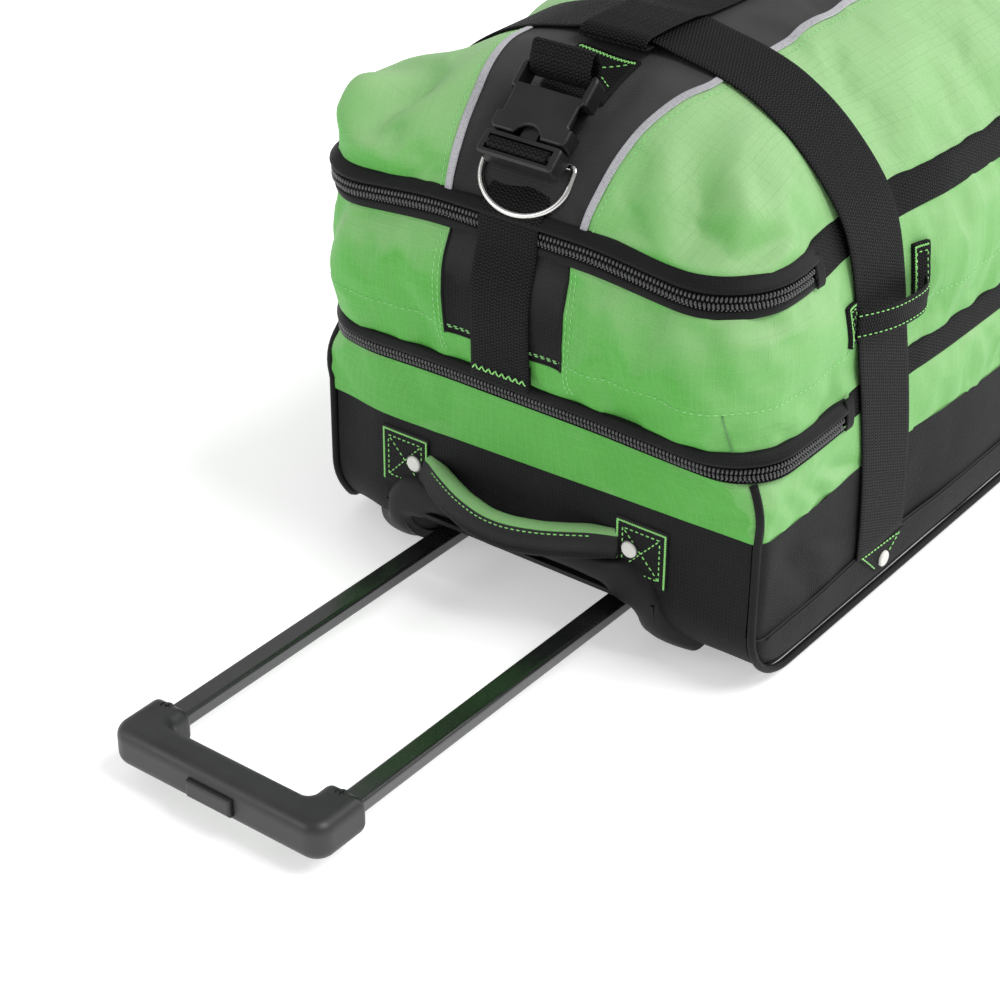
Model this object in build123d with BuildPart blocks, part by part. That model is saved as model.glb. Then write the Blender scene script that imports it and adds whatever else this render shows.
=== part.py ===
from build123d import *
import os
from math import cos, radians, sin

# Wheeled two-level bowling ball bag with a telescopic pull handle, as separate pieces.
#
# Frame: X across the bag, Y along it (the pull-handle end is at low Y), Z up, millimetres.
# The origin is on the floor, under the middle of the overall length with the handle drawn out.
# The fabric pieces are plain panels; every hard piece has its working shape.

# ---- driving dimensions -----------------------------------------------------------------
END = -239.5                 # Y of the handle-end panel
LENGTH = 700.0               # bag body, end panel to tail panel
TAIL = END + LENGTH
HALF_W = 151.0               # outer face of the lower side panels
GROUND_GAP = 9.0             # underside of the bottom fabric
FABRIC = 3.0                 # panel thickness, fabric and its foam backing
CORNER_R = 38.0              # bottom corner of the side outline
BLACK_TOP = 95.0             # seam between black and green lower panels
LOWER_TOP = 138.0            # top of the lower green panels
DECK_BASE = 146.0            # underside of the upper level
DECK_TOP = 234.0
LID_BASE = 241.0
BAND_DEPTH = 5.0             # how far the zip bands reach inwards
FLAP_END = END + 75.0        # the end flap of the lid folds here
FLAP_HINGE_Z = 316.0
GAP = 0.3                    # clearance between pieces that move against each other

BOARD_Z = GROUND_GAP + 2.0
BOARD_TOP = 17.0
TUBE_X = 58.0
TUBE_Z = 23.0
TUBE_W = 13.0
TUBE_H = 9.0
GUIDE_WALL = 1.2
GUIDE_START = END + 50.0
GUIDE_END = END + 600.0
SHAFT_FRONT = END - 243.0
SHAFT_BACK = END + 330.0
PIN_Y = END + 318.0
PIN_R = 2.0
DRAW_OUT = 140.0             # further travel of the handle from here
PUSH_IN = 235.0              # travel back into the bag

GRIP_FRONT = END - 250.0
GRIP_INNER = END - 229.0
COLLAR_END = END - 214.0
GRIP_HALF = 70.0
COLLAR_INNER = 46.0
GRIP_LOW = 12.0
GRIP_HIGH = 35.0
SCREW_Y = END - 219.5
SCREW_R = 1.5
BUTTON_HALF = 14.5

WHEEL_R = 38.0
WHEEL_W = 24.0
WHEEL_X = 121.0
WHEEL_Y = TAIL - 20.0
AXLE_R = 4.0
AXLE_PLAY = 0.05

END_STRAP_HALF = 19.0        # 38 mm webbing
SIDE_STRAP_W = 50.0
WEB = 1.6                    # webbing thickness
RIVET_HEAD_R = 4.8
RIVET_SHANK_R = 1.5

# The buckle lies on the sloping front of the lid: U runs up the slope, N stands off it.
SLOPE = 41.6
BUCKLE_U = 175.0
BUCKLE_N = 202.0
RING_U = 186.0
RING_N = 198.7
RING_WIRE = 1.8
RING_HALF = 27.2

# Outlines at rising heights: (height, half width, inset of the ends, plan corner radius).
DECK_OUTLINE = [
    (DECK_BASE, 146.0, -4.0, 34.0),
    (172.0, 145.0, -18.0, 40.0),
    (208.0, 141.0, -18.0, 40.0),
    (DECK_TOP, 139.0, -8.0, 38.0),
]
LID_OUTLINE = [
    (LID_BASE, 136.0, -6.0, 38.0),
    (262.0, 123.0, 4.0, 40.0),
    (280.0, 106.0, 21.5, 44.0),
    (295.0, 82.0, 43.0, 44.0),
    (306.0, 56.0, 70.0, 36.0),
    (312.0, 24.0, 100.0, 20.0),
]

# ---- places and sizes of the sub-parts -----
HANDLE_RIVET_X = 73.5
HANDLE_RIVET_Z = 70.0
PATCH_FRONT = 2.0
STRAP_FOOT_Y = END + 134.0
STRAP_FOOT_Z = 27.0
STRAP_STANDOFF = 0.6
HOUSING_HALF = 92.0
HOUSING_BACK = END + 38.0
HOUSING_TOP = 42.5
WHEEL_BOX_X = 92.0
WHEEL_BOX_Y = TAIL - 68.0
WHEEL_BOX_TOP = 84.0
COVER_Z = TUBE_Z + TUBE_H / 2 + GAP + GUIDE_WALL + 0.2
COVER_TOP = COVER_Z + 2.0
BALL_R = 109.0
BALL_Y = [END + 270.0, END + 505.0]
CUP_TOP = 52.0
LOWER_ZIP_END = END + 83.0
UPPER_ZIP_END = END + 60.0
COIL = 3.2
BAND_SPLIT = DECK_TOP + 3.8
LID_WALL = 4.0
CENTRE_NARROW = 41.0
CENTRE_WIDE = 59.0
STRAP_LOW = 16.0
KEEPER_LOW = 180.0
KEEPER_HIGH = 195.0
KEEPER_OUT = 159.5
LONG_HALF = 21.0
PLUG_HALF = 24.0
SOCKET_HALF = 23.5
SOCKET_START = 15.0          # up the slope from the plug's lower edge
SOCKET_LENGTH = 41.0
SOCKET_H = 11.0
SOCKET_WALL = 1.8
SOCKET_WAIST = 3.0            # depth of the finger waist at the prongs
PRONG_X = 14.5
LOOP_TOP = 324.0
BAR_LOW = 2.0
BAR_SIZE = 5.0
PATCH_HALF_W = 16.5
PATCH_LOW = 52.0
PATCH_HIGH = 87.0
CARRY_HALF = 62.0
SLIDER_EYE = 5.2
PULL_BAR_R = 1.0
SLIDERS = {
    "lower": (-148.0 - COIL - GAP, LOWER_ZIP_END - 9, (LOWER_TOP + DECK_BASE) / 2),
    "upper": (-139.0 - COIL - GAP, UPPER_ZIP_END - 9, (DECK_TOP + BAND_SPLIT) / 2),
}


os.makedirs("parts", exist_ok=True)


def slope_point(u, n):
    """Y and Z of a point given along and off the sloping front of the lid."""
    y = u * cos(radians(SLOPE)) - n * sin(radians(SLOPE))
    z = u * sin(radians(SLOPE)) + n * cos(radians(SLOPE))
    return END + y, z


def slope_plane(u, n):
    """Plane lying on the slope: its X is across the bag and its Y runs up the slope."""
    y, z = slope_point(u, n)
    normal = (0, -sin(radians(SLOPE)), cos(radians(SLOPE)))
    return Plane(origin=(0, y, z), x_dir=(1, 0, 0), z_dir=normal)


def save(shape, name):
    """Name a finished piece and write it."""
    shape.label = name
    export_step(shape, f"parts/{name}.step")


def block(x0, x1, y0, y1, z0, z1):
    """A plain box between two corners."""
    with BuildPart() as box:
        with Locations(((x0 + x1) / 2, (y0 + y1) / 2, (z0 + z1) / 2)):
            Box(x1 - x0, y1 - y0, z1 - z0)
    return box.part


def both_sides(shape):
    """A shape and its mirror image across the middle of the bag."""
    with BuildPart() as pair:
        add(shape)
        mirror(about=Plane.YZ)
    return pair.part


def both_ends(shape):
    """A shape and its mirror image at the tail end of the bag."""
    with BuildPart() as pair:
        add(shape)
        mirror(about=Plane.XZ.offset(-(END + TAIL) / 2))
    return pair.part


def common(shape, other):
    """What two shapes share."""
    with BuildPart() as result:
        add(shape)
        add(other, mode=Mode.INTERSECT)
    return result.part


def without(shape, *others):
    """A shape with others cut away."""
    with BuildPart() as result:
        add(shape)
        for other in others:
            add(other, mode=Mode.SUBTRACT)
    return result.part


def plan_stack(outline, shrink=0.0, lower_top=0.0):
    """Solid through rounded rectangles at rising heights, faceted between them."""
    top = outline[-1][0]
    with BuildPart() as stack:
        for height, half, inset, radius in outline:
            level = height - lower_top if height == top else height
            with BuildSketch(Plane.XY.offset(level)):
                with Locations((0, (END + TAIL) / 2)):
                    length = LENGTH - 2 * inset - 2 * shrink
                    RectangleRounded(2 * (half - shrink), length, radius - shrink)
        loft(ruled=True)
    return stack.part


def plan_ring(low, high, half, inset, radius, depth):
    """Upright ring round the bag in plan, of one thickness."""
    with BuildPart() as ring:
        with BuildSketch(Plane.XY.offset(low)):
            with Locations((0, (END + TAIL) / 2)):
                RectangleRounded(2 * half, LENGTH - 2 * inset, radius)
                inner_length = LENGTH - 2 * inset - 2 * depth
                RectangleRounded(2 * (half - depth), inner_length, radius - depth,
                                 mode=Mode.SUBTRACT)
        extrude(amount=high - low)
    return ring.part


def side_profile(points, x0, x1):
    """Prism of an outline in Y and Z, from x0 to x1."""
    with BuildPart() as prism:
        with BuildSketch(Plane.YZ.offset(x0)):
            with BuildLine():
                Polyline(*points, close=True)
            make_face()
        extrude(amount=x1 - x0)
    return prism.part


def rivet_shape(plane, head=RIVET_HEAD_R):
    """Domed rivet with its head on the plane, shank and washer behind it."""
    with BuildPart() as rivet:
        with BuildSketch(plane):
            Circle(head)
        extrude(amount=1.6)
        fillet(rivet.edges().filter_by(GeomType.CIRCLE).sort_by(Axis(plane.origin, plane.z_dir))[-1], 1.2)
        with BuildSketch(plane):
            Circle(RIVET_SHANK_R)
        extrude(amount=-9.0)
        with BuildSketch(plane.offset(-9.0)):
            Circle(head)
        extrude(amount=-1.2)
    return rivet.part


def hole_shape(plane, radius):
    """Clearance for a rivet, through what lies behind the plane."""
    with BuildPart() as hole:
        with BuildSketch(plane):
            Circle(radius)
        extrude(amount=9.0, both=True)
    return hole.part


def rivet_planes():
    """Where every rivet head sits, facing outwards."""
    planes = []
    tail_strap = TAIL - (STRAP_FOOT_Y - END)
    for side in (-1, 1):
        x = side * HANDLE_RIVET_X
        planes.append(Plane((x, END - PATCH_FRONT, HANDLE_RIVET_Z), z_dir=(0, -1, 0)))
        planes.append(Plane((x, TAIL + PATCH_FRONT, HANDLE_RIVET_Z), z_dir=(0, 1, 0)))
        for y in (STRAP_FOOT_Y, tail_strap):
            head = side * (HALF_W + STRAP_STANDOFF + WEB)
            planes.append(Plane((head, y, STRAP_FOOT_Z), z_dir=(side, 0, 0)))
    return planes


RIVET_PLANES = rivet_planes()
RIVET_HOLES = [hole_shape(plane, RIVET_SHANK_R + 0.1) for plane in RIVET_PLANES]


# ---- lower level: bottom, boards, lower panels -------------------------------------------


def side_outline(shrink=0.0):
    """Side view of the black lower level: flat top, two round bottom corners."""
    radius = CORNER_R - shrink
    low = GROUND_GAP + shrink
    front = END + shrink
    back = TAIL - shrink
    diagonal = radius * cos(radians(45))
    with BuildLine() as outline:
        Line((front, BLACK_TOP), (front, low + radius))
        ThreePointArc((front, low + radius),
                      (front + radius - diagonal, low + radius - diagonal),
                      (front + radius, low))
        Line((front + radius, low), (back - radius, low))
        ThreePointArc((back - radius, low),
                      (back - radius + diagonal, low + radius - diagonal),
                      (back, low + radius))
        Line((back, low + radius), (back, BLACK_TOP))
        Line((back, BLACK_TOP), (front, BLACK_TOP))
    return outline.line


def outline_prism(x0, x1, shrink=0.0):
    """The side outline as a prism from x0 to x1."""
    with BuildPart() as prism:
        with BuildSketch(Plane.YZ.offset(x0)):
            with BuildLine():
                add(side_outline(shrink))
            make_face()
        extrude(amount=x1 - x0)
    return prism.part


inner_half = HALF_W - FABRIC
housing_space = block(-HOUSING_HALF, HOUSING_HALF, END - 10, HOUSING_BACK, 0, HOUSING_TOP)
wheel_space = both_sides(block(WHEEL_BOX_X, inner_half, WHEEL_BOX_Y, TAIL + 5, 0, WHEEL_BOX_TOP))


def make_bottom_panel():
    """Black fabric under the bag and up both ends, in one strip."""
    shell = without(outline_prism(-inner_half, inner_half), outline_prism(-inner_half, inner_half, 2.0))
    return without(shell, housing_space, wheel_space, *RIVET_HOLES)


save(make_bottom_panel(), "bottom_panel")
lower_side = outline_prism(inner_half, HALF_W)
save(without(both_sides(lower_side), *RIVET_HOLES), "lower_side_panels")

green_ring = plan_ring(BLACK_TOP, LOWER_TOP, HALF_W, 0.0, 14.0, FABRIC)
green_end_space = block(-200, 200, END - 30, END + 14, 0, 300)
save(common(green_ring, both_ends(green_end_space)), "green_end_panels")
save(without(green_ring, both_ends(green_end_space)), "green_side_panels")


def make_board(low, high, front):
    """Stiff board on the floor of the bag."""
    return block(-inner_half + 6, inner_half - 6, front, WHEEL_BOX_Y, low, high)


save(make_board(BOARD_Z, BOARD_TOP, END + 50), "base_board")
save(make_board(COVER_Z, COVER_TOP, END + 50), "tube_cover_board")


def make_ball_cups():
    """Two foam rings that seat the balls on the floor board."""
    with BuildPart() as cups:
        for y in BALL_Y:
            with BuildSketch(Plane.XY.offset(COVER_TOP)):
                with Locations((0, y)):
                    RectangleRounded(226, 226, 30)
            extrude(amount=CUP_TOP - COVER_TOP)
            with Locations((0, y, COVER_TOP + BALL_R - 2)):
                Sphere(BALL_R, mode=Mode.SUBTRACT)
            with Locations((0, y, (COVER_TOP + CUP_TOP) / 2)):
                Cylinder(45, CUP_TOP - COVER_TOP, mode=Mode.SUBTRACT)
    return cups.part


save(make_ball_cups(), "ball_cups")


def make_divider():
    """Fabric floor of the upper level, open over both balls."""
    with BuildPart() as divider:
        with BuildSketch(Plane.XY.offset(LOWER_TOP + 2)):
            with Locations((0, (END + TAIL) / 2)):
                RectangleRounded(2 * 143.0, LENGTH + 2 * 4.0 - 2 * BAND_DEPTH, 25)
            for y in BALL_Y:
                with Locations((0, y)):
                    RectangleRounded(232, 228, 12, mode=Mode.SUBTRACT)
        extrude(amount=2.0)
    return divider.part


save(make_divider(), "divider")

# ---- zip bands and coils ------------------------------------------------------------------
lower_band = plan_ring(LOWER_TOP, DECK_BASE, 148.0, -4.0, 30.0, BAND_DEPTH)
save(lower_band, "lower_zip_band")
lower_coil = plan_ring(LOWER_TOP + 1, DECK_BASE - 1, 148.0 + COIL, -4.0 - COIL, 30.0 + COIL, COIL)
save(common(lower_coil, block(-200, 200, END - 30, LOWER_ZIP_END, 0, 300)), "lower_zip_coil")

top_ring = (139.0, -8.0, 38.0, BAND_DEPTH)
save(plan_ring(DECK_TOP, BAND_SPLIT, *top_ring), "upper_zip_band")
upper_coil = plan_ring(DECK_TOP + 0.4, BAND_SPLIT - GAP, 139.0 + COIL, -8.0 - COIL, 38.0 + COIL, COIL)
save(common(upper_coil, block(-200, 200, END - 30, UPPER_ZIP_END, 0, 300)), "upper_zip_coil")

flap_space = block(-200, 200, END - 40, FLAP_END - GAP, 0, 400)
lid_space = block(-200, 200, FLAP_END + GAP, TAIL + 40, 0, 400)
closing_ring = plan_ring(BAND_SPLIT + GAP, LID_BASE, 136.0, -6.0, 35.0, BAND_DEPTH)
save(common(closing_ring, flap_space), "flap_zip_band")
save(common(closing_ring, lid_space), "lid_band")

# ---- upper level and lid ------------------------------------------------------------------
deck = without(plan_stack(DECK_OUTLINE), plan_stack(DECK_OUTLINE, FABRIC))
deck_end_space = block(-200, 200, END - 40, END + 60, 0, 400)
deck_tail_space = block(-200, 200, TAIL - 60, TAIL + 40, 0, 400)
save(common(deck, deck_end_space), "deck_end_panel")
save(common(deck, deck_tail_space), "deck_tail_panel")
save(without(deck, deck_end_space, deck_tail_space), "deck_side_panels")

lid = without(plan_stack(LID_OUTLINE), plan_stack(LID_OUTLINE, LID_WALL, LID_WALL))


def centre_prism():
    """Plan of the black middle panel of the lid: it widens away from each end."""
    reach = 30.0
    corner = 76.0
    with BuildPart() as prism:
        with BuildSketch(Plane.XY.offset(LID_BASE - 20)):
            with BuildLine():
                Polyline((-CENTRE_NARROW, END - reach), (CENTRE_NARROW, END - reach),
                         (CENTRE_NARROW, END - 5), (CENTRE_WIDE, END + corner),
                         (CENTRE_WIDE, TAIL - corner), (CENTRE_NARROW, TAIL + 5),
                         (CENTRE_NARROW, TAIL + reach), (-CENTRE_NARROW, TAIL + reach),
                         (-CENTRE_NARROW, TAIL + 5), (-CENTRE_WIDE, TAIL - corner),
                         (-CENTRE_WIDE, END + corner), (-CENTRE_NARROW, END - 5), close=True)
            make_face()
        extrude(amount=120)
    return prism.part


centre = centre_prism()
flap = common(lid, flap_space)
fixed_lid = common(lid, lid_space)
save(common(flap, centre), "flap_centre")
save(without(flap, centre), "flap_sides")
save(common(fixed_lid, centre), "lid_centre")
save(without(fixed_lid, centre), "lid_sides")

# ---- webbing --------------------------------------------------------------------------------


def arch_outline(grow):
    """Cross-section of the bag that the compression straps lie on, standing off by grow."""
    side = HALF_W + STRAP_STANDOFF + grow
    right = [
        (side, LOWER_TOP + 4),
        (151.8 + grow, LOWER_TOP + 4.1),
        (151.8 + grow, DECK_BASE + 1),
        (147.0 + grow, DECK_BASE + 4),
        (146.0 + grow, 173.0 + grow),
        (143.2 + grow, 208.0 + grow),
        (143.2 + grow, LID_BASE - 2),
        (137.4 + grow, LID_BASE + 2 + grow),
        (124.0 + grow, 263.0 + grow),
        (107.0 + grow, 281.0 + grow),
        (83.0 + grow, 296.0 + grow),
        (57.0 + grow, 307.4 + grow),
        (26.0, 314.4 + grow),
    ]
    left = [(-x, z) for x, z in reversed(right)]
    return right, left, side


def arch_prism(grow, low):
    """The arch under the strap as a prism along the bag."""
    right, left, side = arch_outline(grow)
    with BuildPart() as prism:
        with BuildSketch(Plane.XZ.offset(-END)):
            with BuildLine():
                Polyline((side, low), *right, *left, (-side, low), close=True)
            make_face()
        extrude(amount=-260)
    return prism.part


def make_compression_strap():
    """Webbing from foot to foot over the bag; it leans to the end over the top."""
    arch = without(arch_prism(WEB, STRAP_LOW), arch_prism(0.0, STRAP_LOW - 10))
    low_front = STRAP_FOOT_Y - SIDE_STRAP_W / 2 - 6
    top_front = FLAP_END + 8
    bend = 45.0
    top = 330.0
    lean = side_profile([(low_front, 0), (low_front, bend), (top_front, top),
                         (top_front + SIDE_STRAP_W, top), (low_front + SIDE_STRAP_W, bend),
                         (low_front + SIDE_STRAP_W, 0)], -200, 200)
    return common(arch, lean)


front_strap = make_compression_strap()
save(without(both_ends(front_strap), *RIVET_HOLES), "compression_straps")


def make_keeper():
    """Sewn webbing bridge that holds the strap against the side."""
    foot = 146.6
    front = END + 74
    back = END + 168
    inner = [(foot, front), (foot, front + 10), (KEEPER_OUT - WEB, front + 19),
             (KEEPER_OUT - WEB, back - 20), (foot, back - 8), (foot, back)]
    outer = [(x + WEB, y) for x, y in inner]
    with BuildPart() as keeper:
        with BuildSketch(Plane.XY.offset(KEEPER_LOW)):
            with BuildLine():
                Polyline(*inner, *outer[::-1], close=True)
            make_face()
        extrude(amount=KEEPER_HIGH - KEEPER_LOW)
    return keeper.part


save(both_ends(both_sides(make_keeper())), "strap_keepers")

save(block(-LONG_HALF, LONG_HALF, END + 101, TAIL - 101, 312.2, 313.8), "long_strap")


def make_end_strap_lower():
    """Sewn end strap over the end of the upper level."""
    stand = 0.4
    inner = [(-6.9, 150), (-18 - stand, 172), (-18 - stand, 208), (-8 - 3.6, 233.5)]
    outer = [(y - WEB, z) for y, z in inner]
    points = [(END + y, z) for y, z in inner + outer[::-1]]
    return side_profile(points, -END_STRAP_HALF, END_STRAP_HALF)


save(make_end_strap_lower(), "end_strap_lower")


def make_end_strap_upper():
    """Strap up the front of the flap to the buckle plug."""
    start = (END - 7.4, BAND_SPLIT + 1)
    shoulder = (END - 6.6, LID_BASE + 0.5)
    tuck = (END + 3.0, 262.4)
    seat = slope_point(BUCKLE_U + 13, 194.4)
    inner = [start, shoulder, tuck, seat]
    outer = [(y - 1.1, z + 0.7) for y, z in inner]
    return side_profile(inner + outer[::-1], -END_STRAP_HALF, END_STRAP_HALF)


save(make_end_strap_upper(), "end_strap_upper")


# ---- ring and buckle on the flap ------------------------------------------------------------
def make_d_ring():
    """Wire ring: straight bar, short legs, half-ellipse; swept as two mirrored halves."""
    leg = 10.0
    bend = 3.0
    drop = 31.0
    tilt = SLOPE + 13.5
    centre_point = slope_plane(RING_U, RING_N).origin
    ring_plane = Plane(origin=centre_point, x_dir=(1, 0, 0),
                       z_dir=(0, -sin(radians(tilt)), cos(radians(tilt))))
    with BuildPart() as ring:
        with BuildLine(ring_plane) as wire:
            Line((0, 0), (RING_HALF - bend, 0))
            RadiusArc((RING_HALF - bend, 0), (RING_HALF, -bend), bend)
            Line((RING_HALF, -bend), (RING_HALF, -leg))
            EllipticalCenterArc((0, -leg), RING_HALF, drop - leg, start_angle=0, arc_size=-90)
        with BuildSketch(Plane(origin=centre_point, z_dir=(1, 0, 0))):
            Circle(RING_WIRE)
        sweep(path=wire.wires()[0])
        mirror(about=Plane.YZ)
    return ring.part


save(make_d_ring(), "d_ring")


def make_ring_keeper():
    """Webbing fold that the ring's bar turns in."""
    plane = slope_plane(RING_U, RING_N)
    with BuildPart() as keeper:
        with BuildSketch(Plane(origin=plane.origin + Vector(-10, 0, 0), z_dir=(1, 0, 0))):
            Circle(2.75)
            Circle(RING_WIRE + 0.15, mode=Mode.SUBTRACT)
        extrude(amount=20)
    return keeper.part


save(make_ring_keeper(), "ring_keeper")


def make_buckle_plug():
    """Ladder-lock base with a middle tongue and two locking prongs."""
    base = slope_plane(BUCKLE_U, BUCKLE_N)
    with BuildPart() as plug:
        with BuildSketch(base):
            with Locations((0, 7)):
                RectangleRounded(2 * PLUG_HALF, 14, 3)
        extrude(amount=SOCKET_H)
        fillet(plug.edges().group_by(Axis(base.origin, base.z_dir))[-1], 1.5)
        with BuildSketch(base):
            with Locations((0, 4.2), (0, 9.8)):
                Rectangle(40, 2.8)
        extrude(amount=SOCKET_H, mode=Mode.SUBTRACT)
        with BuildSketch(base.offset(3.4)):
            with Locations((0, 25)):
                Rectangle(10, 24)
            with Locations((-PRONG_X, 25), (PRONG_X, 25)):
                Rectangle(5, 24)
            with Locations((-PRONG_X - 0.4, 31), (PRONG_X + 0.4, 31)):
                RectangleRounded(5.4, 12, 2)
        extrude(amount=4.2)
    return plug.part


save(make_buckle_plug(), "buckle_plug")


def make_buckle_socket():
    """Open-sided socket that the prongs snap into, with a webbing bar at its far end."""
    base = slope_plane(BUCKLE_U, BUCKLE_N)
    inside = SOCKET_H - 2 * SOCKET_WALL
    middle = SOCKET_START + SOCKET_LENGTH / 2
    with BuildPart() as socket:
        with BuildSketch(base):
            with Locations((0, middle)):
                RectangleRounded(2 * SOCKET_HALF, SOCKET_LENGTH, 4)
            with Locations((-SOCKET_HALF, SOCKET_START + 17), (SOCKET_HALF, SOCKET_START + 17)):
                RectangleRounded(2 * SOCKET_WAIST, 15, 2, mode=Mode.SUBTRACT)
            with Locations((0, SOCKET_START - 3)):
                Circle(9, mode=Mode.SUBTRACT)
        extrude(amount=SOCKET_H)
        fillet(socket.edges().group_by(Axis(base.origin, base.z_dir))[-1], 1.5)
        with BuildSketch(base.offset(SOCKET_WALL)):
            with Locations((0, SOCKET_START + 12)):
                Rectangle(36, 26)
            with Locations((-21, SOCKET_START + 17), (21, SOCKET_START + 17)):
                Rectangle(9, 14)
        extrude(amount=inside, mode=Mode.SUBTRACT)
        with BuildSketch(base):
            with Locations((0, SOCKET_START + 31.5)):
                Rectangle(40, 9)
        extrude(amount=SOCKET_H, mode=Mode.SUBTRACT)
        for low, high in ((-1, BAR_LOW), (BAR_LOW + BAR_SIZE, SOCKET_H + 1)):
            with BuildSketch(base.offset(low)):
                with Locations((0, SOCKET_START + SOCKET_LENGTH)):
                    Rectangle(40, 2 * BAR_SIZE + 1)
            extrude(amount=high - low, mode=Mode.SUBTRACT)
    return socket.part


save(make_buckle_socket(), "buckle_socket")


def make_socket_loop():
    """Short webbing loop that stands up from the socket's bar."""
    bar_u = BUCKLE_U + SOCKET_START + SOCKET_LENGTH - BAR_SIZE / 2
    bar_y, bar_z = slope_point(bar_u, BUCKLE_N + BAR_LOW + BAR_SIZE / 2)
    width = 8.0
    low = bar_z - 4.0
    high = LOOP_TOP - 1.4
    with BuildPart() as loop:
        with BuildSketch(Plane.YZ.offset(-END_STRAP_HALF)):
            with Locations((bar_y, (low + high) / 2)):
                RectangleRounded(width + 2.8, high - low + 2.8, 2)
                RectangleRounded(width, high - low, 0.6, mode=Mode.SUBTRACT)
        extrude(amount=2 * END_STRAP_HALF)
    return loop.part


save(make_socket_loop(), "socket_loop")
save(block(-END_STRAP_HALF, END_STRAP_HALF, END + 70.5, END + 74.5, 307.4, 309.0), "strap_end")

# ---- carry handles --------------------------------------------------------------------------


def make_patches():
    """Square sewn patches that anchor the carry handles."""
    patch = block(80.5 - PATCH_HALF_W, 80.5 + PATCH_HALF_W, END - PATCH_FRONT, END, PATCH_LOW, PATCH_HIGH)
    return without(both_ends(both_sides(patch)), *RIVET_HOLES)


save(make_patches(), "handle_patches")


def make_carry_grip():
    """Padded strip that bows away from the end panel."""
    with BuildPart() as grip:
        with BuildSketch(Plane.XY.offset(46)):
            with BuildLine():
                outer = ThreePointArc((-CARRY_HALF, END - 5), (0, END - 32), (CARRY_HALF, END - 5))
                inner = ThreePointArc((-CARRY_HALF + 6, END - 3), (0, END - 23), (CARRY_HALF - 6, END - 3))
                Line(outer @ 0, inner @ 0)
                Line(outer @ 1, inner @ 1)
            make_face()
        extrude(amount=24)
        fillet(grip.edges().filter_by(GeomType.CIRCLE), 2.5)
    return grip.part


save(make_carry_grip(), "end_carry_grip")
tail_grip = mirror(make_carry_grip(), about=Plane.XZ.offset(-(END + TAIL) / 2))
save(tail_grip, "tail_carry_grip")


# ---- pull handle ------------------------------------------------------------------------------
def tube_between(x, y0, y1, width, height, radius, wall):
    """Rectangular tube along the bag."""
    with BuildPart() as tube:
        with BuildSketch(Plane.XZ.offset(-y0)):
            with Locations((x, TUBE_Z)):
                RectangleRounded(width, height, radius)
                inner = (width - 2 * wall, height - 2 * wall)
                RectangleRounded(*inner, max(radius - wall, 0.5), mode=Mode.SUBTRACT)
        extrude(amount=-(y1 - y0))
    return tube.part


def rod_along_x(x0, x1, y, z, radius):
    """Round bar across the bag."""
    with BuildPart() as rod:
        with BuildSketch(Plane(origin=(x0, y, z), z_dir=(1, 0, 0))):
            Circle(radius)
        extrude(amount=x1 - x0)
    return rod.part


def make_handle_housing():
    """Moulded recess in the end panel that takes the grip; open to the front and below."""
    reach = 44.0
    wall = 3.0
    with BuildPart() as housing:
        with BuildSketch(Plane.YZ.offset(-HOUSING_HALF)):
            with Locations((HOUSING_BACK, GROUND_GAP + CORNER_R)):
                Circle(reach)
            with Locations((HOUSING_BACK - reach, GROUND_GAP)):
                Rectangle(reach, HOUSING_TOP - GROUND_GAP, align=(Align.MIN, Align.MIN), mode=Mode.INTERSECT)
        extrude(amount=2 * HOUSING_HALF)
    recess = block(-81, 81, END - 30, HOUSING_BACK - wall, 0, HOUSING_TOP - wall)
    width = TUBE_W + 2 * GAP
    height = TUBE_H + 2 * GAP
    passage = block(TUBE_X - width / 2, TUBE_X + width / 2, END, END + 60,
                    TUBE_Z - height / 2, TUBE_Z + height / 2)
    return without(housing.part, recess, both_sides(passage))


save(make_handle_housing(), "handle_housing")


def make_guide_tubes():
    """Fixed outer tubes with lock holes at both ends of the travel."""
    width = TUBE_W + 2 * GAP + 2 * GUIDE_WALL
    height = TUBE_H + 2 * GAP + 2 * GUIDE_WALL
    tube = tube_between(TUBE_X, GUIDE_START, GUIDE_END, width, height, 2.5, GUIDE_WALL)
    wall = TUBE_X - width / 2
    for travel in (-DRAW_OUT, PUSH_IN):
        lock_hole = rod_along_x(wall - 1, wall + GUIDE_WALL + 0.4, PIN_Y + travel, TUBE_Z, PIN_R + 0.4)
        tube = without(tube, lock_hole)
    return both_sides(tube)


save(make_guide_tubes(), "guide_tubes")


def make_bushings():
    """Plastic mouths that centre the handle tubes."""
    bush = block(TUBE_X - 9, TUBE_X + 9, HOUSING_BACK, GUIDE_START, TUBE_Z - 7, TUBE_Z + 6)
    passage = block(TUBE_X - TUBE_W / 2 - 0.15, TUBE_X + TUBE_W / 2 + 0.15, END, END + 80,
                    TUBE_Z - TUBE_H / 2 - 0.15, TUBE_Z + TUBE_H / 2 + 0.15)
    return both_sides(without(bush, passage))


save(make_bushings(), "tube_bushings")
save(block(-75, 75, GUIDE_END, GUIDE_END + 12, BOARD_TOP, COVER_Z), "tail_block")


def make_handle_tubes():
    """Sliding inner tubes, drilled for the grip screws and the lock pins."""
    tube = tube_between(TUBE_X, SHAFT_FRONT, SHAFT_BACK, TUBE_W, TUBE_H, 2.2, 1.0)
    with BuildPart() as drill:
        with Locations((TUBE_X, SCREW_Y, TUBE_Z)):
            Cylinder(SCREW_R + 0.1, 30)
    pin_hole = rod_along_x(TUBE_X - 8, TUBE_X - 4, PIN_Y, TUBE_Z, PIN_R + 0.1)
    return both_sides(without(tube, drill.part, pin_hole))


save(make_handle_tubes(), "handle_tubes")


def make_lock_pin(side):
    """Sprung pin that rides on the guide tube's wall between the lock holes."""
    tip = TUBE_X - TUBE_W / 2 - 0.2
    ends = sorted((side * tip, side * (tip + 7.0)))
    return rod_along_x(ends[0], ends[1], PIN_Y, TUBE_Z, PIN_R)


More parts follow.
